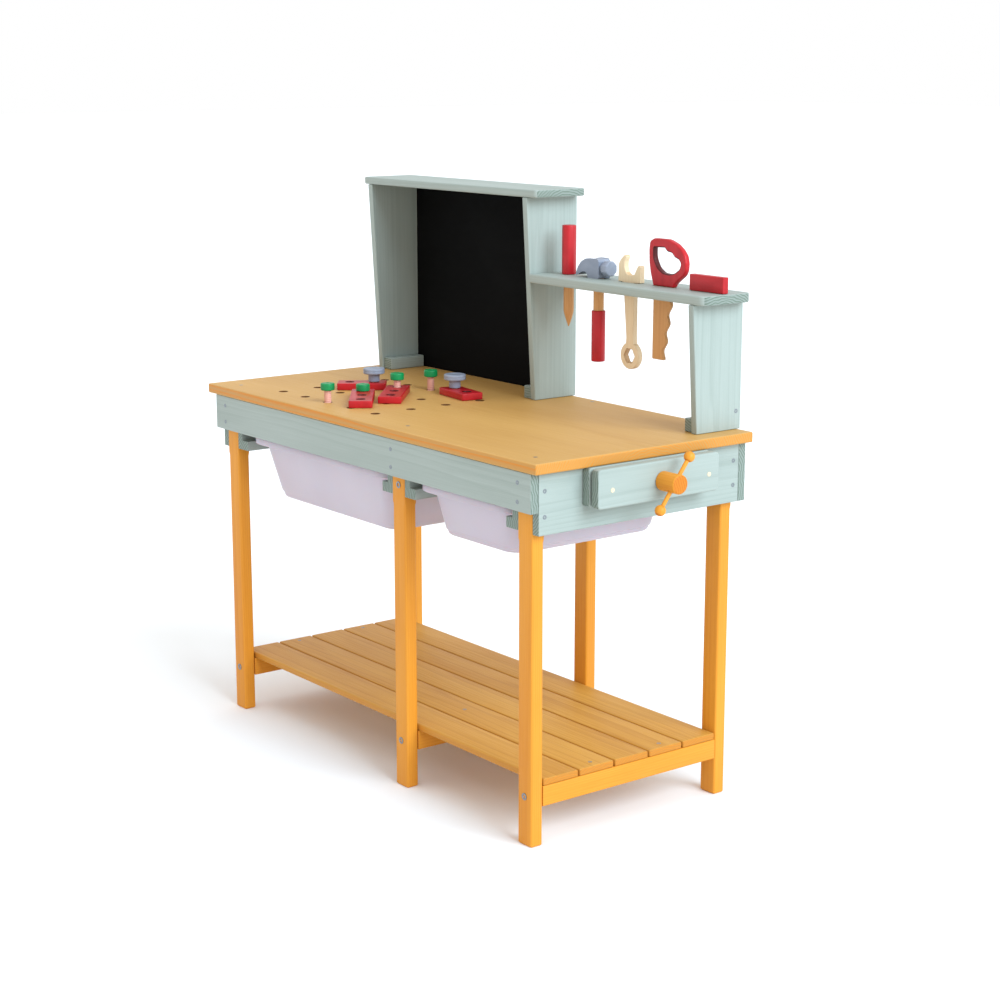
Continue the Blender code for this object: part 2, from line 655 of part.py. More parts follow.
def make_saw(handle_finish, blade_finish):
    """A closed handle with a finger hole and a flat blade whose teeth are soft waves."""
    sides = (TOOL_Y - SAW_HALF, TOOL_Y + SAW_HALF)
    handle = extruded("saw_handle", side_view(SAW_GRIP, SAW_X), "y", sides, handle_finish,
                      origin=(SAW_X, TOOL_Y, REST))
    bevel(handle, EASE)
    through = (TOOL_Y - 2 * SAW_HALF, TOOL_Y + 2 * SAW_HALF)
    finger = smooth_outline(side_view(SAW_FINGER, SAW_X), 2)
    cut(handle, extruded("saw_finger_cutter", finger, "y", through, None))
    left, right = SAW_BLADE_X
    tongue = SAW_BLADE_TOP
    half = SAW_BLADE_HALF + GAP
    slot = [(left - GAP, SHORT_PANEL_TOP), (right + GAP, SHORT_PANEL_TOP),
            (right + GAP, tongue + GAP), (left - GAP, tongue + GAP)]
    cut(handle, extruded("saw_tongue_cutter", slot, "y", (TOOL_Y - half, TOOL_Y + half), None))
    top = REST - GAP
    end = top - SAW_BLADE_LENGTH
    run = np.linspace(0.0, 1.0, 5 * SAW_TEETH + 1)
    low_x, high_x = TOOL_SLOTS["saw"][0]
    wave = SAW_WAVE * (np.cos(2 * np.pi * SAW_TEETH * run) - 1)
    wave += high_x - 2 * GAP - 2 - (high_x - SAW_X - 3) * run
    edge = np.column_stack([wave, top - SAW_BLADE_LENGTH * run])
    back = low_x + 2
    blade = np.vstack([edge, [(back, end), (back + 1, top), (left, top), (left, tongue),
                              (right, tongue), (right, top)]])
    half = SAW_BLADE_HALF
    extruded("saw_blade", blade, "y", (TOOL_Y - half, TOOL_Y + half), blade_finish,
             origin=(SAW_X, TOOL_Y, REST))


def make_square(stock_finish, blade_finish):
    """A try square: a stock that lies on the shelf and a blade that hangs through a slot."""
    left, right = SQUARE_X
    origin = (sum(SQUARE_BLADE_X) / 2, TOOL_Y, REST)
    top = REST + SQUARE_HEIGHT
    outline = [(left, REST), (right, REST), (right, top), (left, top)]
    stock = extruded("square_stock", outline, "y", (TOOL_Y - SQUARE_HALF, TOOL_Y + SQUARE_HALF),
                     stock_finish, origin=origin)
    bevel(stock, EASE)
    left, right = SQUARE_BLADE_X
    socket = REST + SQUARE_SOCKET
    half = SQUARE_BLADE_HALF + GAP
    slot = [(left - GAP, SHORT_PANEL_TOP), (right + GAP, SHORT_PANEL_TOP),
            (right + GAP, socket + GAP), (left - GAP, socket + GAP)]
    cut(stock, extruded("square_socket_cutter", slot, "y", (TOOL_Y - half, TOOL_Y + half), None))
    end = SQUARE_BLADE_END
    blade = [(left, end), (right, end), (right, socket), (left, socket)]
    half = SQUARE_BLADE_HALF
    extruded("square_blade", blade, "y", (TOOL_Y - half, TOOL_Y + half), blade_finish,
             origin=origin)


# Strips and bolts

def make_strip(name, pegged, hole, holes, heading, finish):
    """A flat strip whose holes lie on the pitch, turned so that one of them is over a peg hole."""
    along = np.array([math.cos(math.radians(heading)), math.sin(math.radians(heading))])
    across = np.array([-along[1], along[0]])
    centre = np.array(pegged[:2]) + ((holes - 1) / 2 - hole) * STRIP_PITCH * along
    half = holes * STRIP_PITCH / 2
    plan = rounded_outline((-half, half), (-STRIP_WIDTH / 2, STRIP_WIDTH / 2),
                           (STRIP_CORNER,) * 4, steps=1)
    outline = centre + plan[:, :1] * along + plan[:, 1:] * across
    strip = extruded(name, outline, "z", (STRIP_BOTTOM, STRIP_TOP), finish,
                     origin=(*centre, STRIP_BOTTOM))
    bevel(strip, EASE)
    middle = (STRIP_BOTTOM + STRIP_TOP) / 2
    places = [centre + (i - (holes - 1) / 2) * STRIP_PITCH * along for i in range(holes)]
    drill(strip, [(*place, middle) for place in places], (0, 0, 1), STRIP_HOLE_RADIUS,
          3 * STRIP_THICK)


def make_strips(finish):
    """Two short and two long strips, each over one hole of the peg grid."""
    make_strip("strip_1", peg_point(1, 2), 1, 2, 53.0, finish)
    make_strip("strip_2", peg_point(2, 1), 0, 3, -36.0, finish)
    make_strip("strip_3", peg_point(2, 2), 0, 3, -41.9, finish)
    make_strip("strip_4", peg_point(3, 3), 0, 2, -8.0, finish)


def make_bolt(name, place, under, head_shape, finish, collar=None):
    """A wooden bolt in a peg hole. `under` is how far its head's underside is above the worktop,
    head_shape and collar are (radius, height)."""
    x, y, _ = place
    seat = WORKTOP_TOP + under
    radius, head = head_shape
    stem = BOLT_STEM_RADIUS
    profile = [(seat - BOLT_STEM, stem - 1), (seat - BOLT_STEM + 1, stem)]
    if collar:
        wide, tall = collar
        profile += [(seat - tall, stem), (seat - tall, wide), (seat, wide)]
    else:
        profile += [(seat, stem)]
    profile += [(seat, radius - 1), (seat + 1, radius), (seat + head - 1, radius),
                (seat + head, radius - 1)]
    turned(name, profile, (x, y, 0.0), (0, 0, 1), finish, origin=(x, y, seat))


def make_bolts(green, grey):
    """Four bolts with small green heads, and two with a wide grey disc on a collar."""
    resting = STRIP_TOP - WORKTOP_TOP + GAP
    for row in range(PEG_ROWS):
        under = GREEN_RAISED.get(row, resting)
        make_bolt(f"bolt_green_{row + 1}", peg_point(2, row), under, GREEN_HEAD, green)
    make_bolt("bolt_grey_1", peg_point(1, 2), GREY_RAISED, GREY_HEAD, grey, COLLAR)
    make_bolt("bolt_grey_2", peg_point(3, 3), GREY_RAISED, GREY_HEAD, grey, COLLAR)


def build():
    """Clear the scene and make every piece."""
    for item in list(bpy.data.objects):
        bpy.data.objects.remove(item, do_unlink=True)
    finish = make_materials()
    pine, teal = finish["stained_pine"], finish["teal_paint"]
    make_worktop(pine)
    make_aprons(teal)
    make_legs(pine)
    make_lower_shelf(pine)
    make_tub_rails(teal)
    make_tubs(finish["tub_plastic"])
    make_upper_structure(teal)
    make_chalkboard(finish["chalkboard"])
    make_jaws(teal)
    make_guides(finish["beech"])
    make_screw(pine)
    make_tommy_bar(pine)
    make_screwdriver(finish["red_paint"], finish["beech"])
    make_hammer(finish["grey_paint"], finish["beech"], finish["red_paint"])
    make_wrench(finish["pale_beech"])
    make_saw(finish["red_paint"], finish["beech"])
    make_square(finish["red_paint"], finish["beech"])
    make_strips(finish["red_paint"])
    make_bolts(finish["green_paint"], finish["grey_paint"])


build()
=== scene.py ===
# %% [markdown]
# # A toy workbench in stained and painted pine
#
# The real bench is a kit of sawn boards, screwed together: a honey-stained top, legs and lower
# shelf, and pale teal boards for the frame, the chalkboard bay and the tool shelf. Two plastic tubs
# slide on rails below, and wooden tools, strips and bolts lie loose on it. We start with the packed
# model, because every visible piece takes its place from it.

# %% Load the frame
import math

import bmesh
import bpy
import numpy as np
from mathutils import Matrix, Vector


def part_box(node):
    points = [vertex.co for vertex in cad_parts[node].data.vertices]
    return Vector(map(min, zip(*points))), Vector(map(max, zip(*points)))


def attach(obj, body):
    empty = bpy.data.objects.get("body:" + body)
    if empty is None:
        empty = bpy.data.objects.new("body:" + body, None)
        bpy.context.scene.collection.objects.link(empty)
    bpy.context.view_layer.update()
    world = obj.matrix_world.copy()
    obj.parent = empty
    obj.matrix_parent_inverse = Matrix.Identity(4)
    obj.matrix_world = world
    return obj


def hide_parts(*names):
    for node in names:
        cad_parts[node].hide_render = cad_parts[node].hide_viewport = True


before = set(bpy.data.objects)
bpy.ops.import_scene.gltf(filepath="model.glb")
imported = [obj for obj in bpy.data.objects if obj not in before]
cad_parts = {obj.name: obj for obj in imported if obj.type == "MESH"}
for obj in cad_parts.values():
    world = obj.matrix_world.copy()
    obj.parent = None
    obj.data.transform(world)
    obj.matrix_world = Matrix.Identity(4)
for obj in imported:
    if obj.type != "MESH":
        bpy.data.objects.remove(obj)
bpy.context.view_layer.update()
MM = 0.001

# %% [markdown]
# ## The camera comes first
#
# A camera is easiest to repeat when it is given as two angles: how far round the object it stands
# and how high above the horizon. Here it looks from the front right, a little from above, with a
# long lens, which keeps the legs nearly parallel.

# %% Camera
CAMERA_AZIMUTH = math.radians(52.503)
CAMERA_ELEVATION = math.radians(12.275)
CAMERA_PLACE = (2.6736, -1.9954, 1.1693)
CAMERA_LENS = 72.695

camera_data = bpy.data.cameras.new("camera")
camera_data.lens = CAMERA_LENS
camera_data.clip_end = 100.0
camera = bpy.data.objects.new("camera", camera_data)
bpy.context.scene.collection.objects.link(camera)
bpy.context.scene.camera = camera
camera.location = CAMERA_PLACE
level = math.cos(CAMERA_ELEVATION)
backwards = Vector((math.sin(CAMERA_AZIMUTH) * level, -math.cos(CAMERA_AZIMUTH) * level,
                    math.sin(CAMERA_ELEVATION)))
camera.rotation_euler = (-backwards).to_track_quat("-Z", "Y").to_euler()
print("camera stands", round(camera.location.length, 2), "m from the middle of the footprint")

# %% [markdown]
# ## Soft daylight
#
# The bench stands in bright, even light: a white world fills the shadows, and a broad, slightly
# blue light from the right-hand end makes the end faces and the tops brighter and cooler than the
# front. The wide angle of that light keeps every shadow's edge soft. The floor is plain and pale.

# %% Light and floor
WORLD_STRENGTH = 1.0
KEY_STRENGTH = 3.6
KEY_COLOUR = (0.70, 0.86, 1.0)
KEY_SPREAD = math.radians(42)
KEY_FROM = (1.0, 0.12, 0.62)
FLOOR_HALF = 40.0

world = bpy.data.worlds.new("studio")
bpy.context.scene.world = world
world.use_nodes = True
world.node_tree.nodes["Background"].inputs["Color"].default_value = (1.0, 1.0, 1.0, 1.0)
world.node_tree.nodes["Background"].inputs["Strength"].default_value = WORLD_STRENGTH
bpy.context.scene.view_settings.view_transform = "Standard"

key_data = bpy.data.lights.new("key", "SUN")
key_data.energy = KEY_STRENGTH
key_data.angle = KEY_SPREAD
key_data.color = KEY_COLOUR
key = bpy.data.objects.new("key", key_data)
key.rotation_euler = Vector(KEY_FROM).to_track_quat("Z", "Y").to_euler()
bpy.context.scene.collection.objects.link(key)

floor_mesh = bpy.data.meshes.new("floor")
floor_corners = [(-1, -1, 0), (1, -1, 0), (1, 1, 0), (-1, 1, 0)]
floor_mesh.from_pydata([(x * FLOOR_HALF, y * FLOOR_HALF, z) for x, y, z in floor_corners], [],
                       [(0, 1, 2, 3)])
floor = bpy.data.objects.new("floor", floor_mesh)
bpy.context.scene.collection.objects.link(floor)
print("world strength", WORLD_STRENGTH, "key strength", KEY_STRENGTH)

# %% [markdown]
# ## Outlines with rounded corners
#
# Almost every piece here is a flat board with softened corners. Drawing the board as a polygon and
# then swapping each corner for an arc is how a pattern maker does it, and it works for hollow
# corners too. Each point keeps its outward direction, so the outline can later shrink evenly.

# %% Rounded outlines
ARC_STEPS = 5
SHARP = 0.05 * MM
LEAST_RADIUS = 1e-6
LEAST_LENGTH = 1e-12


def filleted(points, radius, steps=ARC_STEPS):
    """Swap each corner of an anticlockwise polygon for an arc that touches both of its sides.

    The arc's centre lies on the corner's bisector, radius / sin(half angle) away. The result is the
    points and, for each, the way it moves when the shape grows: straight out from its arc, or, at
    a corner left sharp, along the mitre (sum of both sides' normals) / (1 + their dot product).
    """
    points = np.asarray(points, float)
    radius = np.maximum(np.broadcast_to(radius, len(points)).astype(float), LEAST_RADIUS)
    back = np.roll(points, 1, axis=0) - points
    ahead = np.roll(points, -1, axis=0) - points
    back /= np.linalg.norm(back, axis=1)[:, None]
    ahead /= np.linalg.norm(ahead, axis=1)[:, None]
    bulges = back[:, 1] * ahead[:, 0] - back[:, 0] * ahead[:, 1] > 0
    half = np.arccos(np.clip((back * ahead).sum(axis=1), -1, 1)) / 2
    bisector = back + ahead
    bisector /= np.maximum(np.linalg.norm(bisector, axis=1), LEAST_LENGTH)[:, None]
    centre = points + bisector * (radius / np.sin(half))[:, None]
    start = points + back * (radius / np.tan(half))[:, None] - centre
    end = points + ahead * (radius / np.tan(half))[:, None] - centre
    first = np.arctan2(start[:, 1], start[:, 0])
    sweep = np.arctan2(end[:, 1], end[:, 0]) - first
    sweep = (sweep + np.pi) % (2 * np.pi) - np.pi
    angle = first[:, None] + sweep[:, None] * np.linspace(0, 1, steps + 1)
    outwards = np.stack([np.cos(angle), np.sin(angle)], axis=-1)
    rim = centre[:, None] + radius[:, None, None] * outwards
    outwards = np.where(bulges[:, None, None], outwards, -outwards)
    before = np.column_stack([-back[:, 1], back[:, 0]])
    after = np.column_stack([ahead[:, 1], -ahead[:, 0]])
    mitre = (before + after) / (1 + (before * after).sum(axis=1))[:, None]
    outwards = np.where((radius < SHARP)[:, None, None], mitre[:, None], outwards)
    return rim.reshape(-1, 2), outwards.reshape(-1, 2)


def rectangle(low, high, radius, steps=ARC_STEPS):
    """A rounded rectangle between two corners."""
    corners = [(low[0], low[1]), (high[0], low[1]), (high[0], high[1]), (low[0], high[1])]
    return filleted(corners, radius, steps)


def circle(centre, radius, sides=40):
    """A circle as points and outward directions."""
    angle = np.arange(sides) * 2 * np.pi / sides
    outwards = np.column_stack([np.cos(angle), np.sin(angle)])
    return np.asarray(centre) + radius * outwards, outwards


print("a rounded square has", len(rectangle((0, 0), (1, 1), 0.1)[0]), "points")

# %% [markdown]
# ## From loops to a solid
#
# A solid is a stack of loops with the same number of points: quads join each loop to the next and
# one flat face closes each end. To round a board's edges, the first and last loops shrink along a
# quarter circle. The same stack, flared instead of shrunk, is the tool that bores a hole whose rim
# is softened.

# %% Loops and solids
EDGE_STEPS = 4
CORNER_SPARE = 1.06
SHARP_ANGLE = math.radians(32)
FLAT_ANGLE = math.radians(0.5)
ACROSS = {"x": (1, 2, 0), "y": (2, 0, 1), "z": (0, 1, 2)}
TOOL_BEYOND = 4 * MM
TOOL_SKIN = 0.02 * MM


def tidy_mesh(mesh):
    """Point the faces outwards and shade the mesh smooth up to the sharp angle. Wide faces with
    more than four corners keep crisp borders, so that they shade flat."""
    work = bmesh.new()
    work.from_mesh(mesh)
    bmesh.ops.recalc_face_normals(work, faces=work.faces)
    for face in work.faces:
        face.smooth = True
    for edge in work.edges:
        turn = edge.calc_face_angle(math.pi)
        wide = any(len(face.verts) > 4 for face in edge.link_faces)
        edge.smooth = turn < FLAT_ANGLE or (turn < SHARP_ANGLE and not wide)
    work.to_mesh(mesh)
    work.free()


def stack_faces(levels, around, offset=0):
    """Quads between neighbouring loops, and a flat face over the first and the last loop."""
    i = np.arange(around)
    j = (i + 1) % around
    base = np.arange(levels - 1)[:, None] * around
    quads = np.stack([base + i, base + j, base + around + j, base + around + i], axis=-1)
    quads = (quads.reshape(-1, 4) + offset).tolist()
    bottom = (np.arange(around)[::-1] + offset).tolist()
    top = (np.arange(around) + (levels - 1) * around + offset).tolist()
    return quads + [bottom, top]


def solid(name, stacks):
    """One mesh object from one or more stacks of loops, each shaped (levels, around, 3)."""
    points, faces, offset = [], [], 0
    for loops in stacks:
        levels, around = loops.shape[:2]
        points.append(loops.reshape(-1, 3))
        faces += stack_faces(levels, around, offset)
        offset += levels * around
    mesh = bpy.data.meshes.new(name)
    mesh.from_pydata(np.vstack(points).tolist(), [], faces)
    tidy_mesh(mesh)
    piece = bpy.data.objects.new(name, mesh)
    bpy.context.scene.collection.objects.link(piece)
    return piece


def place_loop(flat, axis, height):
    """Put a flat loop across an axis at a height along it."""
    loop = np.empty((len(flat), 3))
    first, second, along = ACROSS[axis]
    loop[:, first] = flat[:, 0]
    loop[:, second] = flat[:, 1]
    loop[:, along] = height
    return loop


def slab(outline, axis, low, high, edge):
    """An outline carried from low to high whose end edges are rounded.

    Near each end, at the angle a from 0 to 90 degrees, the loop is shrunk by edge * (1 - sin a) and
    stands edge * (1 - cos a) inside the end. Convex corners need a radius above the edge's, or the
    shrunk loops would cross.
    """
    rim, outwards = outline
    a = np.linspace(0, np.pi / 2, EDGE_STEPS + 1)
    shrink = edge * (1 - np.sin(a))
    depth = edge * (1 - np.cos(a))
    insets = np.concatenate([shrink, shrink[::-1]])
    heights = np.concatenate([low + depth, high - depth[::-1]])
    return np.array([place_loop(rim - outwards * s, axis, h) for s, h in zip(insets, heights)])


def flared(outline, axis, low, high, flare):
    """The tool for a hole between two faces: the outline, widened along a quarter circle where it
    reaches each face, and carried straight on beyond them."""
    rim, outwards = outline
    a = np.linspace(0, np.pi / 2, EDGE_STEPS + 1)
    widen = flare * (1 - np.sin(a))
    depth = flare * (1 - np.cos(a)) + TOOL_SKIN
    grows = np.concatenate([[flare], widen, widen[::-1], [flare]])
    heights = np.concatenate([[low - TOOL_BEYOND], low + depth, high - depth[::-1],
                              [high + TOOL_BEYOND]])
    return np.array([place_loop(rim + outwards * g, axis, h) for g, h in zip(grows, heights)])


BORE_MARK = bpy.data.materials.new("bore_mark")


def combine(piece, stacks, operation="DIFFERENCE"):
    """Cut stacks of loops out of a piece, or weld them on, and keep the result as its mesh. The
    faces that a cut leaves carry the marking material, so that they can be found again and given
    the painted shade of a hole's wall."""
    tool = solid(piece.name + "_tool", stacks)
    if operation == "DIFFERENCE":
        tool.data.materials.append(BORE_MARK)
    step = piece.modifiers.new("combine", "BOOLEAN")
    step.operation = operation
    step.solver = "EXACT"
    step.material_mode = "TRANSFER"
    step.object = tool
    graph = bpy.context.evaluated_depsgraph_get()
    mesh = bpy.data.meshes.new_from_object(piece.evaluated_get(graph))
    piece.modifiers.clear()
    old, piece.data = piece.data, mesh
    mesh.name = piece.name
    bpy.data.meshes.remove(old)
    tool_mesh = tool.data
    bpy.data.objects.remove(tool)
    bpy.data.meshes.remove(tool_mesh)
    tidy_mesh(mesh)
    return piece


print("rounded edges use", EDGE_STEPS, "steps")

# %% [markdown]
# ## Turned pieces
#
# Handles, bolts, the vice's screw and its bar come off a lathe, so each is a profile of distances
# along an axis and radii, swept once round. A radius that also depends on the angle gives a thread
# or a faceted handle with the same few lines.

# %% Turning
TURNED_SIDES = 48
FLAT_END = 0.85
LEAST_TURNED_RADIUS = 0.2 * MM
FAR_BELOW = 1.0


def across_axis(direction):
    """Two unit vectors at right angles to a direction and to each other."""
    direction = np.asarray(direction, float)
    side = np.cross(direction, np.eye(3)[np.argmin(np.abs(direction))])
    side /= np.linalg.norm(side)
    return side, np.cross(direction, side)


def turned(centre, direction, along, radius, sides=TURNED_SIDES):
    """Sweep a profile round an axis: the point at (s, angle) is centre + s * direction
    + r(s, angle) across it. `radius` is one value per s, or a grid of one row per s and one column
    per angle. A smaller ring lies flat on each end, so that the ends shade flat."""
    side, other = across_axis(direction)
    angle = np.arange(sides) * 2 * np.pi / sides
    ring = np.outer(np.cos(angle), side) + np.outer(np.sin(angle), other)
    along = np.asarray(along, float)
    radius = np.asarray(radius, float)
    grid = radius[:, None] * np.ones(sides) if radius.ndim == 1 else radius
    along = np.concatenate([along[:1], along, along[-1:]])
    grid = np.vstack([FLAT_END * grid[:1], grid, FLAT_END * grid[-1:]])
    spine = np.asarray(centre) + along[:, None] * np.asarray(direction, float)
    return spine[:, None] + grid[:, :, None] * ring


def rounded_profile(points, radii, steps=4):
    """Round the inner corners of an open profile of (distance, radius) points with small arcs."""
    points = np.asarray(points, float)
    closed = np.vstack([points, [points[-1, 0], -FAR_BELOW], [points[0, 0], -FAR_BELOW]])
    rim, _ = filleted(closed, list(radii) + [0, 0], steps)
    count = len(points) * (steps + 1)
    return rim[:count, 0], np.maximum(rim[:count, 1], LEAST_TURNED_RADIUS)


def thread(along, pitch, height, sides=TURNED_SIDES):
    """A helical ridge: height * (half a cosine wave) of (distance / pitch - angle / full turn)."""
    angle = np.arange(sides) / sides
    phase = np.asarray(along)[:, None] / pitch - angle
    return height * (0.5 + 0.5 * np.cos(2 * np.pi * phase))


print("a turned piece has", TURNED_SIDES, "sides")

# %% [markdown]
# ## How wood is drawn
#
# A board is cut out of a trunk, so its figure is a slice through growth rings: long arches on the
# faces, and arcs on the ends. We keep that truth. Every board carries an attribute `grain`, each
# point's place in an imaginary trunk (along it, and two distances across it), and the material
# draws rings round the trunk's middle. No two boards sit at the same place in the trunk. A second
# attribute marks the faces that cut across the fibres, where stain and paint soak in and darken;
# on the worktop and the slats the long edges take part of that colour too, as painted light that
# stands in for the sheen which pales the top but not its edges. A third marks the walls of drilled
# holes, which get a painted shade.

# %% Grain attributes
chance = np.random.default_rng(11)
TRUNK_SIDEWAYS = 0.035
TRUNK_DEPTH = (0.045, 0.110)
END_LIMIT = 0.75


def set_grain(piece, along, broad, edge_light_tint=0.0):
    """Give a piece its place in the trunk. `along` is its fibres' direction and `broad` points
    across its wide face; the trunk's middle lies some centimetres behind that face. Faces that cut
    the fibres soak up most finish. The long edges take the given share of that colour as painted
    light, standing in for the sheen that pales a broad face but not its edges, and the walls of
    drilled holes are marked for a painted shade."""
    mesh = piece.data
    along = np.asarray(along, float) / np.linalg.norm(along)
    broad = np.asarray(broad, float) / np.linalg.norm(broad)
    points = np.empty(len(mesh.vertices) * 3)
    mesh.vertices.foreach_get("co", points)
    points = points.reshape(-1, 3)
    middle = (points.min(axis=0) + points.max(axis=0)) / 2
    shift = np.array([chance.uniform(0, 8), chance.uniform(-TRUNK_SIDEWAYS, TRUNK_SIDEWAYS),
                      chance.uniform(*TRUNK_DEPTH)])
    local = (points - middle) @ np.column_stack([along, np.cross(broad, along), broad])
    grain = mesh.attributes.new("grain", "FLOAT_VECTOR", "POINT")
    grain.data.foreach_set("vector", (local + shift).ravel())
    count = len(mesh.polygons)
    normals = np.empty(count * 3)
    mesh.polygons.foreach_get("normal", normals)
    normals = normals.reshape(-1, 3)
    cut = (np.abs(normals @ along) > END_LIMIT).astype(float)
    # Painted light: the long edges take part of the end-grain colour, standing in for the sheen
    # that pales the broad face but not the edges.
    edge = (np.abs(normals @ broad) < 1 - END_LIMIT) * edge_light_tint
    # The walls of drilled holes, found by their marking material, are marked for a painted shade.
    bore_shade = np.empty(count, dtype=np.int32)
    mesh.polygons.foreach_get("material_index", bore_shade)
    mesh.polygons.foreach_set("material_index", np.zeros(count, dtype=np.int32))
    corners = np.empty(count, dtype=np.int32)
    mesh.polygons.foreach_get("loop_total", corners)
    for name, value in (("end_grain", np.maximum(cut, edge)), ("bore_shade", bore_shade.astype(float))):
        mark = mesh.attributes.new(name, "FLOAT", "CORNER")
        mark.data.foreach_set("value", np.repeat(value, corners))
    return piece


print("trunk middle between", TRUNK_DEPTH, "m behind the face")

# %% [markdown]
# ## A short way to write node trees
#
# Materials are networks of small nodes. This helper adds a node, sets plain values on its sockets
# and links the others, so each finish below reads as a recipe.

# %% Node helper
def linear(red, green, blue):
    """A colour given as 0-255 screen values, as the linear light that shaders use."""
    value = np.array([red, green, blue]) / 255
    light = np.where(value <= 0.04045, value / 12.92, ((value + 0.055) / 1.055) ** 2.4)
    return (*light.tolist(), 1.0)


class Recipe:
    """A material's node tree, with one short method to add and link a node."""

    def __init__(self, name, roughness, **uniform):
        self.material = bpy.data.materials.new(name)
        self.material.use_nodes = True
        self.tree = self.material.node_tree
        self.shader = self.tree.nodes["Principled BSDF"]
        self.shader.inputs["Roughness"].default_value = roughness
        for socket, value in uniform.items():
            self.shader.inputs[socket.replace("_", " ")].default_value = value

    def add(self, kind, inputs=None, **settings):
        """Add a node; inputs maps a socket's name or number to a value or another node's output."""
        node = self.tree.nodes.new("ShaderNode" + kind)
        for name, value in settings.items():
            setattr(node, name, value)
        for socket, value in (inputs or {}).items():
            if isinstance(value, bpy.types.NodeSocket):
                self.tree.links.new(value, node.inputs[socket])
            else:
                node.inputs[socket].default_value = value
        return node

    def mark(self, name, output="Fac"):
        """One of the mesh's own attributes."""
        return self.add("Attribute", attribute_name=name).outputs[output]

    def place(self):
        """The point's place in the object's own space."""
        return self.add("TexCoord").outputs["Object"]

    def vector(self, operation, first, second=(0.0, 0.0, 0.0), output=0):
        """A Vector Math node's output."""
        node = self.add("VectorMath", {0: first, 1: second}, operation=operation)
        return node.outputs[output]

    def math(self, operation, first, second=0.0, clamp=False):
        """A Math node's output."""
        node = self.add("Math", {0: first, 1: second}, operation=operation, use_clamp=clamp)
        return node.outputs[0]

    def blend(self, amount, first, second, mode="MIX"):
        """Mix two colours and return the result."""
        node = self.add("Mix", {0: amount, 6: first, 7: second}, data_type="RGBA", blend_type=mode)
        return node.outputs[2]

    def stretch(self, vector, scale):
        """A vector scaled by three numbers."""
        return self.add("Mapping", {"Vector": vector, "Scale": scale}).outputs[0]

    def noise(self, vector, scale, detail=2.0, roughness=0.5):
        """A noise texture's value."""
        node = self.add("TexNoise", {"Vector": vector, "Scale": scale, "Detail": detail,
                                     "Roughness": roughness})
        return node.outputs[0]

    def ramp(self, value, stops):
        """A colour ramp used as a curve: stops are (place, grey level)."""
        node = self.add("ValToRGB", {"Fac": value})
        elements = node.color_ramp.elements
        while len(elements) < len(stops):
            elements.new(0.5)
        for element, (place, grey) in zip(elements, stops):
            element.position = place
            element.color = (grey, grey, grey, 1.0)
        return node.outputs[0]

    def between(self, value, low, high):
        """Map 0..1 to low..high."""
        node = self.add("MapRange", {"Value": value, "To Min": low, "To Max": high})
        return node.outputs[0]

    def finish(self, colour, roughness=None, height=None, strength=0.2, distance=0.0003):
        """Link the colour, roughness and bump to the shader."""
        self.tree.links.new(colour, self.shader.inputs["Base Color"])
        if roughness is not None:
            self.tree.links.new(roughness, self.shader.inputs["Roughness"])
        if height is not None:
            bump = self.add("Bump", {"Height": height, "Strength": strength, "Distance": distance})
            self.tree.links.new(bump.outputs[0], self.shader.inputs["Normal"])
        return self.material


print("mid grey is", round(linear(128, 128, 128)[0], 3), "in linear light")

# %% [markdown]
# ## Wood finishes
#
# Stained, painted and bare wood share one figure: rings whose spacing wanders, each ring pale at
# first and then a thin dark line, with fine fibres along the board, and slow blotches where the
# stain took more or less. A finish then only chooses its colours and how strongly each of these
# shows. Thin paint hides most of the figure, and a clear stain shows nearly all of it.

# %% Wood
RING_PITCH = 4.2 * MM
BEECH_PITCH = 2.6 * MM
RING_WANDER = 1.6
RING_STOPS = [(0.0, 0.10), (0.45, 0.22), (0.80, 0.75), (0.92, 1.0), (1.0, 0.10)]
UNEVEN_SCALE = (1.0, 60.0, 60.0)
PORE_SCALE = (40.0, 1400.0, 1400.0)
FIBRE_SCALE = (9.0, 900.0, 900.0)
BLOTCH_SCALE = (3.0, 14.0, 14.0)
WARP_SCALE = (1.6, 9.0, 9.0)
WARP_REACH = 12 * MM


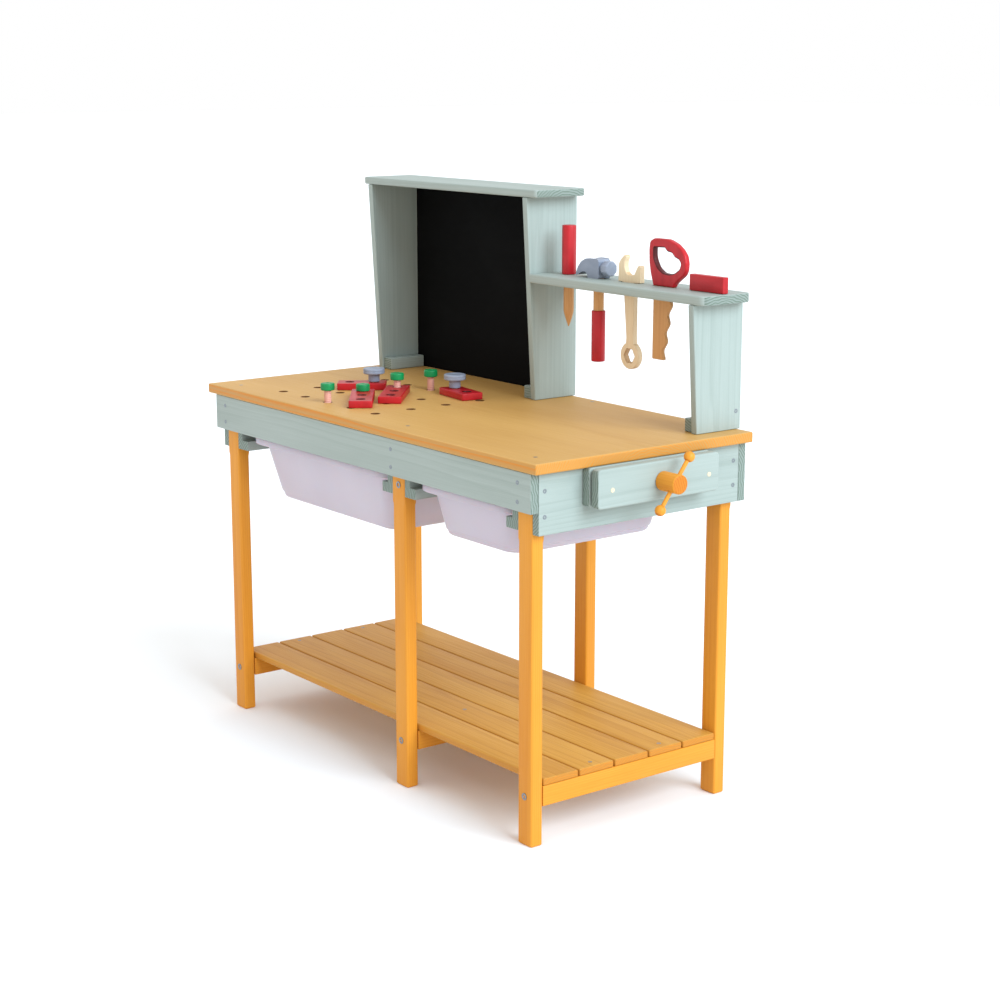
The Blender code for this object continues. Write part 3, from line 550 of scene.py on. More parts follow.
def wood(name, pale, dark, end, hole, roughness, rings=0.5, fibres=0.3, blotches=0.2, bump=0.25,
         pitch=RING_PITCH, gloss=0.3):
    """Wood between a pale and a dark colour, with its own end grain colour and a darker colour
    painted on the walls of holes as their shade. rings, fibres and blotches say how much each adds."""
    recipe = Recipe(name, roughness, Specular_IOR_Level=gloss)
    grain = recipe.mark("grain", "Vector")
    sway = recipe.add("TexNoise", {"Vector": recipe.stretch(grain, WARP_SCALE), "Scale": 1.0,
                                   "Detail": 2.0}).outputs["Color"]
    sway = recipe.vector("SUBTRACT", sway, (0.5, 0.5, 0.5))
    sway = recipe.vector("MULTIPLY", sway, (0.0, WARP_REACH, WARP_REACH))
    bent = recipe.vector("ADD", grain, sway)
    flat = recipe.vector("MULTIPLY", bent, (0.0, 1.0, 1.0))
    radius = recipe.vector("LENGTH", flat, output="Value")
    count = recipe.math("DIVIDE", radius, pitch)
    uneven = recipe.noise(recipe.stretch(flat, UNEVEN_SCALE), 1.0, 1.0)
    count = recipe.math("ADD", count, recipe.math("MULTIPLY", uneven, RING_WANDER))
    ring = recipe.ramp(recipe.math("FRACT", count), RING_STOPS)
    fibre = recipe.noise(recipe.stretch(bent, FIBRE_SCALE), 1.0, 3.0, 0.6)
    fibre = recipe.ramp(fibre, [(0.32, 0.0), (0.68, 1.0)])
    blotch = recipe.noise(recipe.stretch(grain, BLOTCH_SCALE), 1.0, 3.0)
    blotch = recipe.ramp(blotch, [(0.3, 0.0), (0.7, 1.0)])
    figure = recipe.math("MULTIPLY", ring, rings)
    figure = recipe.math("ADD", figure, recipe.math("MULTIPLY", fibre, fibres))
    figure = recipe.math("ADD", figure, recipe.math("MULTIPLY", blotch, blotches), clamp=True)
    colour = recipe.blend(figure, pale, dark)
    pores = recipe.noise(recipe.stretch(grain, PORE_SCALE), 1.0, 2.0)
    across = recipe.math("ADD", recipe.math("MULTIPLY", ring, 0.75),
                         recipe.math("MULTIPLY", pores, 0.5))
    across = recipe.blend(recipe.ramp(across, [(0.25, 0.0), (0.95, 1.0)]), dark, end)
    mark = recipe.mark("end_grain")
    colour = recipe.blend(mark, colour, across)
    # Painted shade: the walls of drilled holes take the darker hole colour, for the shade inside
    # them.
    painted_bore_shade = recipe.mark("bore_shade")
    colour = recipe.blend(painted_bore_shade, colour, hole)
    height = recipe.math("ADD", recipe.math("MULTIPLY", ring, -0.5), fibre)
    rough = recipe.between(fibre, roughness - 0.05, roughness + 0.08)
    return recipe.finish(colour, rough, height, bump)


# The dark hole colour here, and the fourth colour of each wood below, is painted shade for the
# walls of holes.
STAIN_HOLE_SHADE = linear(96, 54, 16)
STAINED = wood("stained_pine", linear(205, 160, 92), linear(188, 140, 74), linear(206, 124, 24),
               STAIN_HOLE_SHADE, 0.50, rings=0.30, fibres=0.25, blotches=0.45)
SHELF_STAIN = wood("shelf_stain", linear(213, 157, 68), linear(180, 119, 40),
                   linear(198, 122, 30), STAIN_HOLE_SHADE, 0.50, rings=0.34, fibres=0.28,
                   blotches=0.38)
LEG_STAIN = wood("leg_stain", linear(223, 151, 46), linear(202, 122, 26), linear(184, 98, 16),
                 STAIN_HOLE_SHADE, 0.48, rings=0.30, fibres=0.25, blotches=0.40)
TEAL = wood("teal_paint", linear(164, 173, 166), linear(142, 152, 144), linear(86, 102, 88),
            linear(92, 100, 90), 0.52, rings=0.34, fibres=0.25, blotches=0.40, bump=0.3)
BEECH = wood("beech", linear(214, 162, 104), linear(186, 128, 76), linear(172, 116, 66),
             linear(120, 80, 44), 0.55, rings=0.25, fibres=0.35, blotches=0.25, pitch=BEECH_PITCH)
PALE_BEECH = wood("pale_beech", linear(236, 214, 180), linear(216, 186, 144),
                  linear(206, 174, 132), linear(190, 156, 116), 0.55, rings=0.25, fibres=0.3,
                  blotches=0.2, pitch=BEECH_PITCH)
STEM_WOOD = wood("stem_wood", linear(226, 168, 152), linear(204, 140, 122), linear(196, 134, 116),
                 linear(150, 100, 84), 0.55, rings=0.2, fibres=0.35, blotches=0.3,
                 pitch=BEECH_PITCH)
print("wood finishes:", STAINED.name, LEG_STAIN.name, TEAL.name, BEECH.name, PALE_BEECH.name)

# %% [markdown]
# ## Lacquer, plastic, chalkboard and steel
#
# The red, green and grey tools wear an opaque lacquer over wood: even colour, a faint ripple where
# the fibres swelled, and a slow change in sheen. The tubs are milky plastic, which scatters light
# inside itself. The chalkboard is matt black with a trace of wiped chalk, and the screws are dull
# zinc.

# %% Lacquer and the other finishes
def lacquer(name, colour, shade, hole, roughness=0.36):
    """An opaque paint over wood: two near colours, a fibre ripple, a wandering sheen and a darker
    colour painted on the walls of holes as their shade.
    """
    recipe = Recipe(name, roughness, Specular_IOR_Level=0.35)
    grain = recipe.mark("grain", "Vector")
    drift = recipe.noise(recipe.stretch(grain, (25.0, 60.0, 60.0)), 1.0, 3.0)
    ripple = recipe.noise(recipe.stretch(grain, (30.0, 700.0, 700.0)), 1.0, 2.0)
    wear = recipe.noise(recipe.stretch(grain, (160.0, 160.0, 160.0)), 1.0, 4.0, 0.65)
    worn = recipe.ramp(wear, [(0.62, 0.0), (0.75, 0.35)])
    mixed = recipe.blend(recipe.ramp(drift, [(0.35, 0.0), (0.65, 1.0)]), colour, shade)
    mixed = recipe.blend(worn, mixed, shade)
    # Painted shade: the walls of drilled holes take the darker hole colour, for the shade inside
    # them.
    painted_bore_shade = recipe.mark("bore_shade")
    mixed = recipe.blend(painted_bore_shade, mixed, hole)
    rough = recipe.between(drift, roughness - 0.06, roughness + 0.10)
    return recipe.finish(mixed, rough, ripple, 0.12, 0.0002)


def tub_plastic():
    """Milky polypropylene: a soft colour drift, fine moulding texture and some scattering."""
    recipe = Recipe("tub_plastic", 0.36, Subsurface_Weight=0.2, Subsurface_Scale=0.008,
                    Specular_IOR_Level=0.4)
    place = recipe.place()
    drift = recipe.noise(place, 7.0, 2.0)
    skin = recipe.noise(place, 900.0, 2.0)
    scuff = recipe.noise(recipe.stretch(place, (40.0, 40.0, 400.0)), 1.0, 4.0, 0.7)
    colour = recipe.blend(drift, linear(200, 190, 198), linear(184, 172, 184))
    rough = recipe.between(scuff, 0.28, 0.50)
    return recipe.finish(colour, rough, skin, 0.08, 0.0002)


def chalk_black():
    """Matt black lacquer with the grey haze that a wiped chalk drawing leaves."""
    recipe = Recipe("chalkboard", 0.75, Specular_IOR_Level=0.06)
    place = recipe.place()
    haze = recipe.noise(recipe.stretch(place, (6.0, 6.0, 12.0)), 1.0, 5.0, 0.6)
    haze = recipe.ramp(haze, [(0.45, 0.0), (0.85, 0.06)])
    speck = recipe.noise(place, 1400.0, 1.0)
    colour = recipe.blend(haze, linear(9, 9, 9), linear(60, 61, 62))
    rough = recipe.between(speck, 0.68, 0.84)
    return recipe.finish(colour, rough, speck, 0.15, 0.0002)


def zinc():
    """Zinc-plated steel, a little uneven and dull."""
    recipe = Recipe("zinc", 0.38, Metallic=1.0)
    place = recipe.place()
    cloud = recipe.noise(place, 600.0, 3.0)
    colour = recipe.blend(cloud, linear(120, 124, 130), linear(160, 164, 170))
    return recipe.finish(colour, recipe.between(cloud, 0.30, 0.48), cloud, 0.05, 0.0001)


def floor_finish():
    """A pale floor with a barely visible mottle."""
    recipe = Recipe("floor_finish", 0.9)
    place = recipe.place()
    cloud = recipe.noise(place, 3.0, 2.0)
    colour = recipe.blend(cloud, linear(246, 246, 245), linear(243, 243, 242))
    return recipe.finish(colour)


# The third colour of each lacquer is painted shade for the walls of holes.
RED = lacquer("red_paint", linear(186, 26, 34), linear(168, 20, 28), linear(84, 8, 10))
GREEN = lacquer("green_paint", linear(8, 142, 78), linear(6, 124, 66), linear(4, 70, 40))
GREY = lacquer("grey_paint", linear(146, 152, 166), linear(132, 139, 154), linear(70, 74, 82))
TUB_PLASTIC = tub_plastic()
CHALK = chalk_black()
ZINC = zinc()
floor.data.materials.append(floor_finish())
print("painted finishes:", RED.name, GREEN.name, GREY.name)

# %% [markdown]
# ## Putting a piece on the frame
#
# Each piece gets its grain and finish, rides on one of the model's bodies and may stand for model
# nodes. One function does all of that, so no piece is forgotten.

# %% Dressing
X, Y, Z = np.eye(3)


def dress(piece, finish, body, nodes=(), along=X, broad=Z, edge_light_tint=0.0):
    """Give a piece its grain and finish, hang it on a body and let it stand for model nodes."""
    set_grain(piece, along, broad, edge_light_tint)
    piece.data.materials.clear()
    piece.data.materials.append(finish)
    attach(piece, body)
    if nodes:
        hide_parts(*nodes)
    return piece


def limits(node):
    """A model node's lowest and highest corner as arrays."""
    low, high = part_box(node)
    return np.array(low), np.array(high)


def middle_of(node, axis):
    """The middle of a model node along one axis, given as a number."""
    low, high = limits(node)
    return float((low + high)[axis] / 2)


def straight_board(name, axis, edge, steps=3):
    """A board of a node's own size: its rounded section carried along the axis."""
    low, high = limits(name)
    first, second, along = ACROSS[axis]
    section = rectangle(low[[first, second]], high[[first, second]], CORNER_SPARE * edge, steps)
    return solid(name + "_board", [slab(section, axis, low[along], high[along], edge)])


print("ready to dress", len(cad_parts), "model nodes")

# %% [markdown]
# ## The worktop
#
# The top is one broad, honey-stained board with a grid of peg holes for the wooden bolts. Carrying
# its rounded section from end to end gives clean edges, and the holes are bored afterwards with a
# tool that softens both rims, as sanding does.

# %% Worktop
WORKTOP_EDGE = 2.5 * MM
PEG_RADIUS = 7.4 * MM
PEG_FLARE = 0.8 * MM
PEG_PITCH = np.array([72.0, 71.8]) * MM
PEG_COLUMNS, PEG_ROWS = 5, 4
PEG_MARGIN = np.array([162.85, 58.85]) * MM

top_low, top_high = limits("worktop")
peg_first = top_low[:2] + PEG_MARGIN
columns, rows = np.meshgrid(np.arange(PEG_COLUMNS), np.arange(PEG_ROWS))
pegs = peg_first + np.column_stack([columns.ravel(), rows.ravel()]) * PEG_PITCH
worktop = straight_board("worktop", "x", WORKTOP_EDGE, 4)
combine(worktop, [flared(circle(p, PEG_RADIUS), "z", top_low[2], top_high[2], PEG_FLARE)
                  for p in pegs])
# The long edges take 0.9 of the end-grain colour: painted light, for the sheen that pales the top
# but not its edges.
dress(worktop, STAINED, "root", ["worktop"], X, Z, 0.9)
print("worktop with", len(pegs), "peg holes and", len(worktop.data.polygons), "faces")

# %% [markdown]
# ## The frame boards
#
# Aprons and end boards make the box under the worktop, painted thin teal. The right end board also
# has holes for the vice's screw and for the two dowels that guide its jaw, so it is bored like the
# worktop.

# %% Aprons and end boards
FRAME_EDGE = 1.3 * MM
SCREW_HOLE = 8.6 * MM
GUIDE_HOLE = 4.6 * MM
VICE_FLARE = 0.5 * MM
for name, axis in (("front_apron", "x"), ("rear_apron", "x"), ("left_end_board", "y"),
                   ("right_end_board", "y")):
    broad = Y if axis == "x" else X
    apron = straight_board(name, axis, FRAME_EDGE)
    if name == "right_end_board":
        low, high = limits(name)
        screw_low, screw_high = limits("vice_screw")
        vice_centre = ((screw_low + screw_high) / 2)[1:]
        guides = [(np.add(*limits(g)) / 2)[1:] for g in ("vice_guide_front", "vice_guide_rear")]
        holes = [flared(circle(vice_centre, SCREW_HOLE), "x", low[0], high[0], VICE_FLARE)]
        holes += [flared(circle(g, GUIDE_HOLE, 24), "x", low[0], high[0], VICE_FLARE)
                  for g in guides]
        combine(apron, holes)
    dress(apron, TEAL, "root", [name], X if axis == "x" else Y, broad)
print("vice centre height", round(vice_centre[1], 4), "m")

# %% [markdown]
# ## Legs with stopped chamfers
#
# A leg's long edges are softened for little hands, but only up to a few centimetres below the
# frame, where the leg has to sit square against it. The loop's corner radius is a function of the
# height: a wide radius up to the stop, then a short run-out to a nearly square section.

# %% Legs
SOFT_CORNER = 3.6 * MM
SQUARE_CORNER = 0.8 * MM
STOP_BELOW_FRAME = 16 * MM
RUN_OUT = 7 * MM
FOOT_CHAMFER = 2.0 * MM
apron_bottom = limits("rear_apron")[0][2]


def leg_loops(low, high):
    """A rectangular section up the leg; its corner radius falls from soft to square over the
    run-out, following half a cosine wave, and the foot's edge is chamfered."""
    stop = apron_bottom - STOP_BELOW_FRAME
    run = np.linspace(0, 1, 6)
    heights = np.concatenate([[low[2], low[2] + FOOT_CHAMFER], stop + RUN_OUT * run, [high[2]]])
    soft = 0.5 + 0.5 * np.cos(np.pi * run)
    radii = SQUARE_CORNER + (SOFT_CORNER - SQUARE_CORNER) * soft
    radii = np.concatenate([[SOFT_CORNER, SOFT_CORNER], radii, [SQUARE_CORNER]])
    loops = []
    for height, radius in zip(heights, radii):
        rim, outwards = rectangle(low[:2], high[:2], radius, 4)
        inset = FOOT_CHAMFER if height == low[2] else 0.0
        loops.append(place_loop(rim - outwards * inset, "z", height))
    return np.array(loops)


PLACES = ("left", "middle", "right")
legs = [f"leg_{side}_{place}" for side in ("front", "rear") for place in PLACES]
for name in legs:
    leg = solid(name + "_post", [leg_loops(*limits(name))])
    dress(leg, LEG_STAIN, "root", [name], Z, Y)
print("legs:", len(legs), "stop at", round(apron_bottom - STOP_BELOW_FRAME, 3), "m")

# %% [markdown]
# ## The lower shelf
#
# Five slats with eased top edges lie across three beams. They are the simplest boards of all, and
# the loop gives each its own place in the trunk, so the figure differs from slat to slat.

# %% Slats and beams
SLAT_EDGE = 2.2 * MM
BEAM_EDGE = 1.2 * MM
slats = [f"shelf_slat_{i + 1}" for i in range(5)]
beams = [f"shelf_beam_{place}" for place in PLACES]
for name in slats:
    slat = straight_board(name, "x", SLAT_EDGE, 4)
    # The slats' long edges take half the end-grain colour: painted light, for the sheen that pales
    # their tops but not their edges.
    dress(slat, SHELF_STAIN, "root", [name], X, Z, 0.5)
for name in beams:
    dress(straight_board(name, "y", BEAM_EDGE), LEG_STAIN, "root", [name], Y, Z)
print("slats:", len(slats), "beams:", len(beams))

# %% [markdown]
# ## Rails for the tubs
#
# Each rail is an L: a side board under the worktop with a ledge at its foot. One L-shaped outline,
# carried from front to back, is enough. The inner corner stays crisp, because it is where two
# boards meet.

# %% Rails
LEDGE_HEIGHT = 17 * MM
SIDE_THICK = 14 * MM
RAIL_CORNER = 0.9 * MM
RAIL_EDGE = 0.8 * MM


def rail_outline(low, high, ledge_right):
    """The L in (z, x): a side board over the full height and a ledge at its foot."""
    foot = low[2] + LEDGE_HEIGHT
    if ledge_right:
        inner = low[0] + SIDE_THICK
        corners = [(low[2], low[0]), (high[2], low[0]), (high[2], inner), (foot, inner),
                   (foot, high[0]), (low[2], high[0])]
    else:
        inner = high[0] - SIDE_THICK
        corners = [(low[2], low[0]), (foot, low[0]), (foot, inner), (high[2], inner),
                   (high[2], high[0]), (low[2], high[0])]
    return filleted(corners, RAIL_CORNER, 2)


for i, ledge_right in enumerate((True, False, True, False)):
    name = f"tub_rail_{i + 1}"
    low, high = limits(name)
    outline = rail_outline(low, high, ledge_right)
    rail = solid(name + "_profile", [slab(outline, "y", low[1], high[1], RAIL_EDGE)])
    dress(rail, TEAL, "root", [name], Y, X)
print("ledge height", LEDGE_HEIGHT, "m")

# %% [markdown]
# ## The chalkboard bay and the tool shelf
#
# The upright panels are boards whose front edge leans forwards, so their outline is a four-sided
# shape in the side view. The top board and the tool shelf have rounded corners in plan. The tools
# hang through round holes and slots in the shelf.

# %% Panels, boards and battens
PANEL_EDGE = 1.4 * MM
PANEL_LEAN = {"left_panel": 20.0 * MM, "middle_panel": 20.0 * MM, "short_panel": 12.2 * MM}
for name, lean in PANEL_LEAN.items():
    low, high = limits(name)
    corners = [(low[1] + lean, low[2]), (high[1], low[2]), (high[1], high[2]), (low[1], high[2])]
    outline = filleted(corners, CORNER_SPARE * PANEL_EDGE, 3)
    panel = solid(name + "_board", [slab(outline, "x", low[0], high[0], PANEL_EDGE)])
    dress(panel, TEAL, "root", [name], Z, X)

TOP_CORNER = 8 * MM
TOP_EDGE = 2.4 * MM
BATTEN_EDGE = 1.8 * MM
low, high = limits("top_board")
outline = rectangle(low[:2], high[:2], TOP_CORNER)
dress(solid("top_board_plank", [slab(outline, "z", low[2], high[2], TOP_EDGE)]), TEAL, "root",
      ["top_board"], X, Z)
battens = [f"foot_batten_{place}" for place in PLACES]
for name in battens:
    dress(straight_board(name, "y", BATTEN_EDGE), TEAL, "root", [name], Y, Z)
dress(straight_board("chalkboard", "x", 0.5 * MM, 1), CHALK, "root",
      ["chalkboard"], X, Y)
print("panels:", len(PANEL_LEAN))

# %% Tool shelf
SHELF_ROUND = np.array([2.4, 14, 14, 2.4]) * MM
SHELF_EDGE = 2.2 * MM
SLOT_CORNER = 2.8 * MM
SLOT_FLARE = 0.6 * MM
SLOTS = {"wrench": (-24.0, 44.5, 13.0), "saw_blade": (0.0, 51.7, 8.0),
         "square_blade": (0.0, 25.7, 9.0)}
ROUND_HOLES = {"screwdriver_blade": 9.6 * MM, "hammer_handle": 12.8 * MM}
shelf_low, shelf_high = limits("tool_shelf")
tool_line = middle_of("wrench", 1)
shelf_corners = [(shelf_low[0], shelf_low[1]), (shelf_high[0], shelf_low[1]),
                 (shelf_high[0], shelf_high[1]), (shelf_low[0], shelf_high[1])]
shelf_outline = filleted(shelf_corners, SHELF_ROUND, 6)
shelf = solid("tool_shelf_plank",
              [slab(shelf_outline, "z", shelf_low[2], shelf_high[2], SHELF_EDGE)])
cuts = []
for node, (from_right, length, width) in SLOTS.items():
    low, high = limits(node)
    middle = high[0] + from_right * MM if from_right else (low[0] + high[0]) / 2
    half = np.array([length, width]) * MM / 2
    centre = np.array([middle, tool_line])
    cuts.append(flared(rectangle(centre - half, centre + half, SLOT_CORNER), "z", shelf_low[2],
                       shelf_high[2], SLOT_FLARE))
for node, radius in ROUND_HOLES.items():
    cuts.append(flared(circle((middle_of(node, 0), tool_line), radius), "z", shelf_low[2],
                       shelf_high[2], SLOT_FLARE))
combine(shelf, cuts)
dress(shelf, TEAL, "root", ["tool_shelf"], X, Z)
print("tool shelf with", len(cuts), "openings along y =", round(tool_line, 4))

# %% [markdown]
# ## The tubs
#
# Each tub is pressed from one sheet of plastic: a flat bottom, a rounded foot, tapering walls and a
# rim that turns out and then down. Its wall is a path of loops from the outside of the bottom, over
# the rim, to the inside of the bottom. A loop is a rounded rectangle part of the way between the
# base and the rim, which gives the taper.

# %% Tubs
TUB_WALL = 2.5 * MM
LIP = 12 * MM
FOOT_ROUND = 8 * MM
TUB_NECK = 15 * MM
CORNER_AT_BASE = 32 * MM
CORNER_GAIN = 6 * MM
CORNER_AT_RIM = 48 * MM
TUB_SIDES = 10
TUB_BASES = {"tub_left": ((32.0, 45.0), (50.0, 32.0)), "tub_right": ((36.0, 31.0), (34.0, 35.0))}


def tub_loops(low, high, near, far):
    """Loops of a tub. near and far are how much smaller the base is than the rim at the low and the
    high corner. At taper t (0 base, 1 rim) the rectangle is base + t * (neck - base)."""
    base_low, base_high = low[:2] + near, high[:2] - far
    neck_low, neck_high = low[:2] + TUB_NECK, high[:2] - TUB_NECK
    depth = high[2] - low[2]
    top = high[2]
    under = top - TUB_WALL
    lip = top - LIP

    def loop(taper, inset, height, corner):
        a = base_low + taper * (neck_low - base_low) + inset
        b = base_high + taper * (neck_high - base_high) - inset
        return place_loop(rectangle(a, b, corner, TUB_SIDES)[0], "z", height)

    def rim(inset, height, tighter):
        outline = rectangle(low[:2] + inset, high[:2] - inset, CORNER_AT_RIM - tighter, TUB_SIDES)
        return place_loop(outline[0], "z", height)

    def foot(shell, corner, tighten, angles):
        turn = FOOT_ROUND - shell
        return [loop(0, shell + turn * (1 - math.sin(a)), low[2] + shell + turn * (1 - math.cos(a)),
                     corner - tighten * (1 - math.sin(a))) for a in angles]

    def wall(shell, corner, tapers):
        return [loop(t, shell, low[2] + depth * t, corner + CORNER_GAIN * t) for t in tapers]

    quarter = np.linspace(0, np.pi / 2, 7)
    tapers = np.linspace(0.12, 0.97, 8)
    loops = foot(0, CORNER_AT_BASE, 8 * MM, quarter) + wall(0, CORNER_AT_BASE, tapers)
    loops += [rim(TUB_NECK - 1.5 * MM, under, 10 * MM), rim(TUB_WALL + 2 * MM, under, 2 * MM),
              rim(TUB_WALL, under - 2 * MM, 1 * MM), rim(TUB_WALL, lip + 0.8 * MM, 1 * MM),
              rim(TUB_WALL / 2, lip + 0.3 * MM, 0), rim(0, lip + 1 * MM, 0),
              rim(0, top - 3 * MM, 0), rim(0.9 * MM, top - 0.9 * MM, 0),
              rim(3 * MM, top, 2 * MM), rim(TUB_NECK - 1 * MM, top, 10 * MM),
              rim(TUB_NECK + 1.6 * MM, top - 1.2 * MM, 12 * MM)]
    loops += wall(TUB_WALL, CORNER_AT_BASE - TUB_WALL, tapers[::-1])
    loops += foot(TUB_WALL, CORNER_AT_BASE - 3 * MM, 7 * MM, quarter[::-1])
    return np.array(loops)


for node, (near, far) in TUB_BASES.items():
    low, high = limits(node)
    loops = tub_loops(low, high, np.array(near) * MM, np.array(far) * MM)
    tub = solid(node + "_moulding", [loops])
    body = "left_tub" if node == "tub_left" else "right_tub"
    dress(tub, TUB_PLASTIC, body, [node], X, Z)
    print(node, "has", len(tub.data.polygons), "faces")

# %% [markdown]
# ## The vice
#
# A fixed jaw, a moving jaw on two dowels, and a fat wooden screw with a tommy bar. The jaws are
# slabs with well-rounded corners. The spindle carries a real helical ridge: its radius depends on
# the distance along it minus the angle round it, which is what a thread is.

# %% Jaws and dowels
JAW_CORNER = 7 * MM
JAW_EDGE = 2.6 * MM
SOCKET_DEPTH = 10.1 * MM
SOCKET_RADIUS = 4.5 * MM
DOWEL_RADIUS = 4 * MM
PLUG_RADIUS = 3.6 * MM
for name, body in (("vice_back_jaw", "root"), ("vice_front_jaw", "vice_jaw")):
    low, high = limits(name)
    outline = rectangle(low[1:], high[1:], JAW_CORNER, 8)
    jaw = solid(name + "_block", [slab(outline, "x", low[0], high[0], JAW_EDGE)])
    hole_end = high[0] + TOOL_BEYOND if body == "root" else low[0] + SOCKET_DEPTH
    holes = [flared(circle(vice_centre, SCREW_HOLE), "x", low[0], high[0], VICE_FLARE)]
    for guide in guides:
        rim, _ = circle(guide, SOCKET_RADIUS, 24)
        holes.append(np.array([place_loop(rim, "x", low[0] - TOOL_BEYOND),
                               place_loop(rim, "x", hole_end)]))
    combine(jaw, holes)
    dress(jaw, TEAL, body, [name], Y, X)

jaw_face = limits("vice_front_jaw")[1][0]
for i, (node, guide) in enumerate(zip(("vice_guide_front", "vice_guide_rear"), guides)):
    low, high = limits(node)
    along, radius = rounded_profile([(low[0], DOWEL_RADIUS), (high[0], DOWEL_RADIUS)],
                                    [1 * MM, 0.5 * MM])
    dowel = solid(node + "_dowel", [turned((0, *guide), X, along, radius, 32)])
    dress(dowel, BEECH, "vice_jaw", [node], X, Y)
    along, radius = rounded_profile([(jaw_face - 1.5 * MM, PLUG_RADIUS),
                                     (jaw_face + 0.5 * MM, PLUG_RADIUS)], [0.1 * MM, 0.6 * MM])
    plug = solid(f"vice_jaw_plug_{i + 1}", [turned((0, *guide), X, along, radius, 32)])
    dress(plug, PALE_BEECH, "vice_jaw", (), Y, X)
print("jaw corners", JAW_CORNER, "m")

# %% Screw and tommy bar
HUB_RADIUS = 15 * MM
SPINDLE_RADIUS = 8 * MM
THREAD_PITCH = 8 * MM
THREAD_HEIGHT = 1.1 * MM
BAR_TILT = math.radians(37)
BAR_RADIUS = 3.25 * MM
BALL_RADIUS = 8.5 * MM
BALL_REACH = 47 * MM
BAR_FROM_END = 13 * MM
BAR_BORE = [BAR_RADIUS + 0.2 * MM] * 2
CLEARANCE = 0.3 * MM
LEAD_IN = 3 * MM
TIP_CHAMFER = 1.2 * MM

hub_start = jaw_face + CLEARANCE
spindle = np.linspace(screw_low[0], hub_start, 150)
fade = np.clip((spindle - screw_low[0]) / LEAD_IN, 0, 1)[:, None]
ridge = thread(spindle, THREAD_PITCH, THREAD_HEIGHT) * fade
spindle_radius = SPINDLE_RADIUS - THREAD_HEIGHT + ridge
spindle_radius[0] -= TIP_CHAMFER
hub_profile = [(hub_start, HUB_RADIUS), (screw_high[0], HUB_RADIUS)]
hub_along, hub_radius = rounded_profile(hub_profile, [1.2 * MM, 2.6 * MM], 6)
screw_along = np.concatenate([spindle, hub_along])
screw_radius = np.vstack([spindle_radius, hub_radius[:, None] * np.ones(TURNED_SIDES)])
screw = solid("vice_screw_turned", [turned((0, *vice_centre), X, screw_along, screw_radius)])
bar_centre = np.array([screw_high[0] - BAR_FROM_END, *vice_centre])
bar_way = np.array([0, math.sin(BAR_TILT), math.cos(BAR_TILT)])
combine(screw, [turned(bar_centre, bar_way, [-2 * HUB_RADIUS, 2 * HUB_RADIUS], BAR_BORE, 32)])
dress(screw, LEG_STAIN, "vice_screw", ["vice_screw"], X, Y)

neck = math.asin(BAR_RADIUS / BALL_RADIUS)
swing = np.linspace(0.06, math.pi - neck, 18)
ball_along = -BALL_REACH - BALL_RADIUS * np.cos(swing)
ball_radius = BALL_RADIUS * np.sin(swing)
bar_along = np.concatenate([ball_along, -ball_along[::-1]])
bar_radius = np.concatenate([ball_radius, ball_radius[::-1]])
bar = solid("vice_tommy_bar_turned", [turned(bar_centre, bar_way, bar_along, bar_radius, 40)])
dress(bar, LEG_STAIN, "vice_screw", ["vice_tommy_bar"], bar_way, X)
print("screw has", len(screw.data.polygons), "faces and a", THREAD_PITCH, "m pitch")

# %% [markdown]
# ## The screwdriver
#
# Its red handle is turned and then flattened into eight soft facets: the radius is a mix of a
# circle and an octagon, which at each angle is the facet's distance divided by a cosine. The blade
# is a round stick whose width and thickness shrink at different rates, which makes a chisel point.

# %% Screwdriver
FACETS = 8
FACETED = 0.65
GRIP_RADIUS = 12 * MM
POINT_LENGTH = 26 * MM
low, high = limits("screwdriver_handle")
driver_x = middle_of("screwdriver_handle", 0)
angle = np.arange(TURNED_SIDES) * 2 * np.pi / TURNED_SIDES
facet = 2 * np.pi / FACETS
octagon = math.cos(facet / 2) / np.cos((angle % facet) - facet / 2)
along, radius = rounded_profile([(low[2], GRIP_RADIUS), (high[2], GRIP_RADIUS)],
                                [1.2 * MM, 1.8 * MM])
handle_radius = radius[:, None] * (1 - FACETED + FACETED * octagon / octagon.max())
handle = solid("screwdriver_grip", [turned((driver_x, tool_line, 0), Z, along, handle_radius)])
dress(handle, RED, "screwdriver", ["screwdriver_handle"], Z, X)

low, high = limits("screwdriver_blade")
run = np.linspace(0, 1, 40)
heights = low[2] + run * (shelf_high[2] - low[2])
tip = np.clip((heights - low[2]) / POINT_LENGTH, 0, 1)
wide = 1.2 * MM + 7.5 * MM * np.sin(tip * np.pi / 2)
thin = 0.7 * MM + 8.0 * MM * tip ** 1.2
side_x, side_y = np.cos(angle), np.sin(angle)
blade_loops = np.stack([driver_x + wide[:, None] * side_x, tool_line + thin[:, None] * side_y,
                        heights[:, None] + 0 * side_x], axis=-1)
dress(solid("screwdriver_shaft", [blade_loops]), BEECH, "screwdriver",
      ["screwdriver_blade"], Z, Y)
print("screwdriver blade tapers over", POINT_LENGTH, "m")

# %% [markdown]
# ## The hammer
#
# The head is a slab with a claw, welded to a short neck and an eight-sided striking face. The claw
# is drawn as a side view with rounded corners, and the face is a stack of octagons that swells from
# the neck. Below hang the bare stick and a thicker red grip.

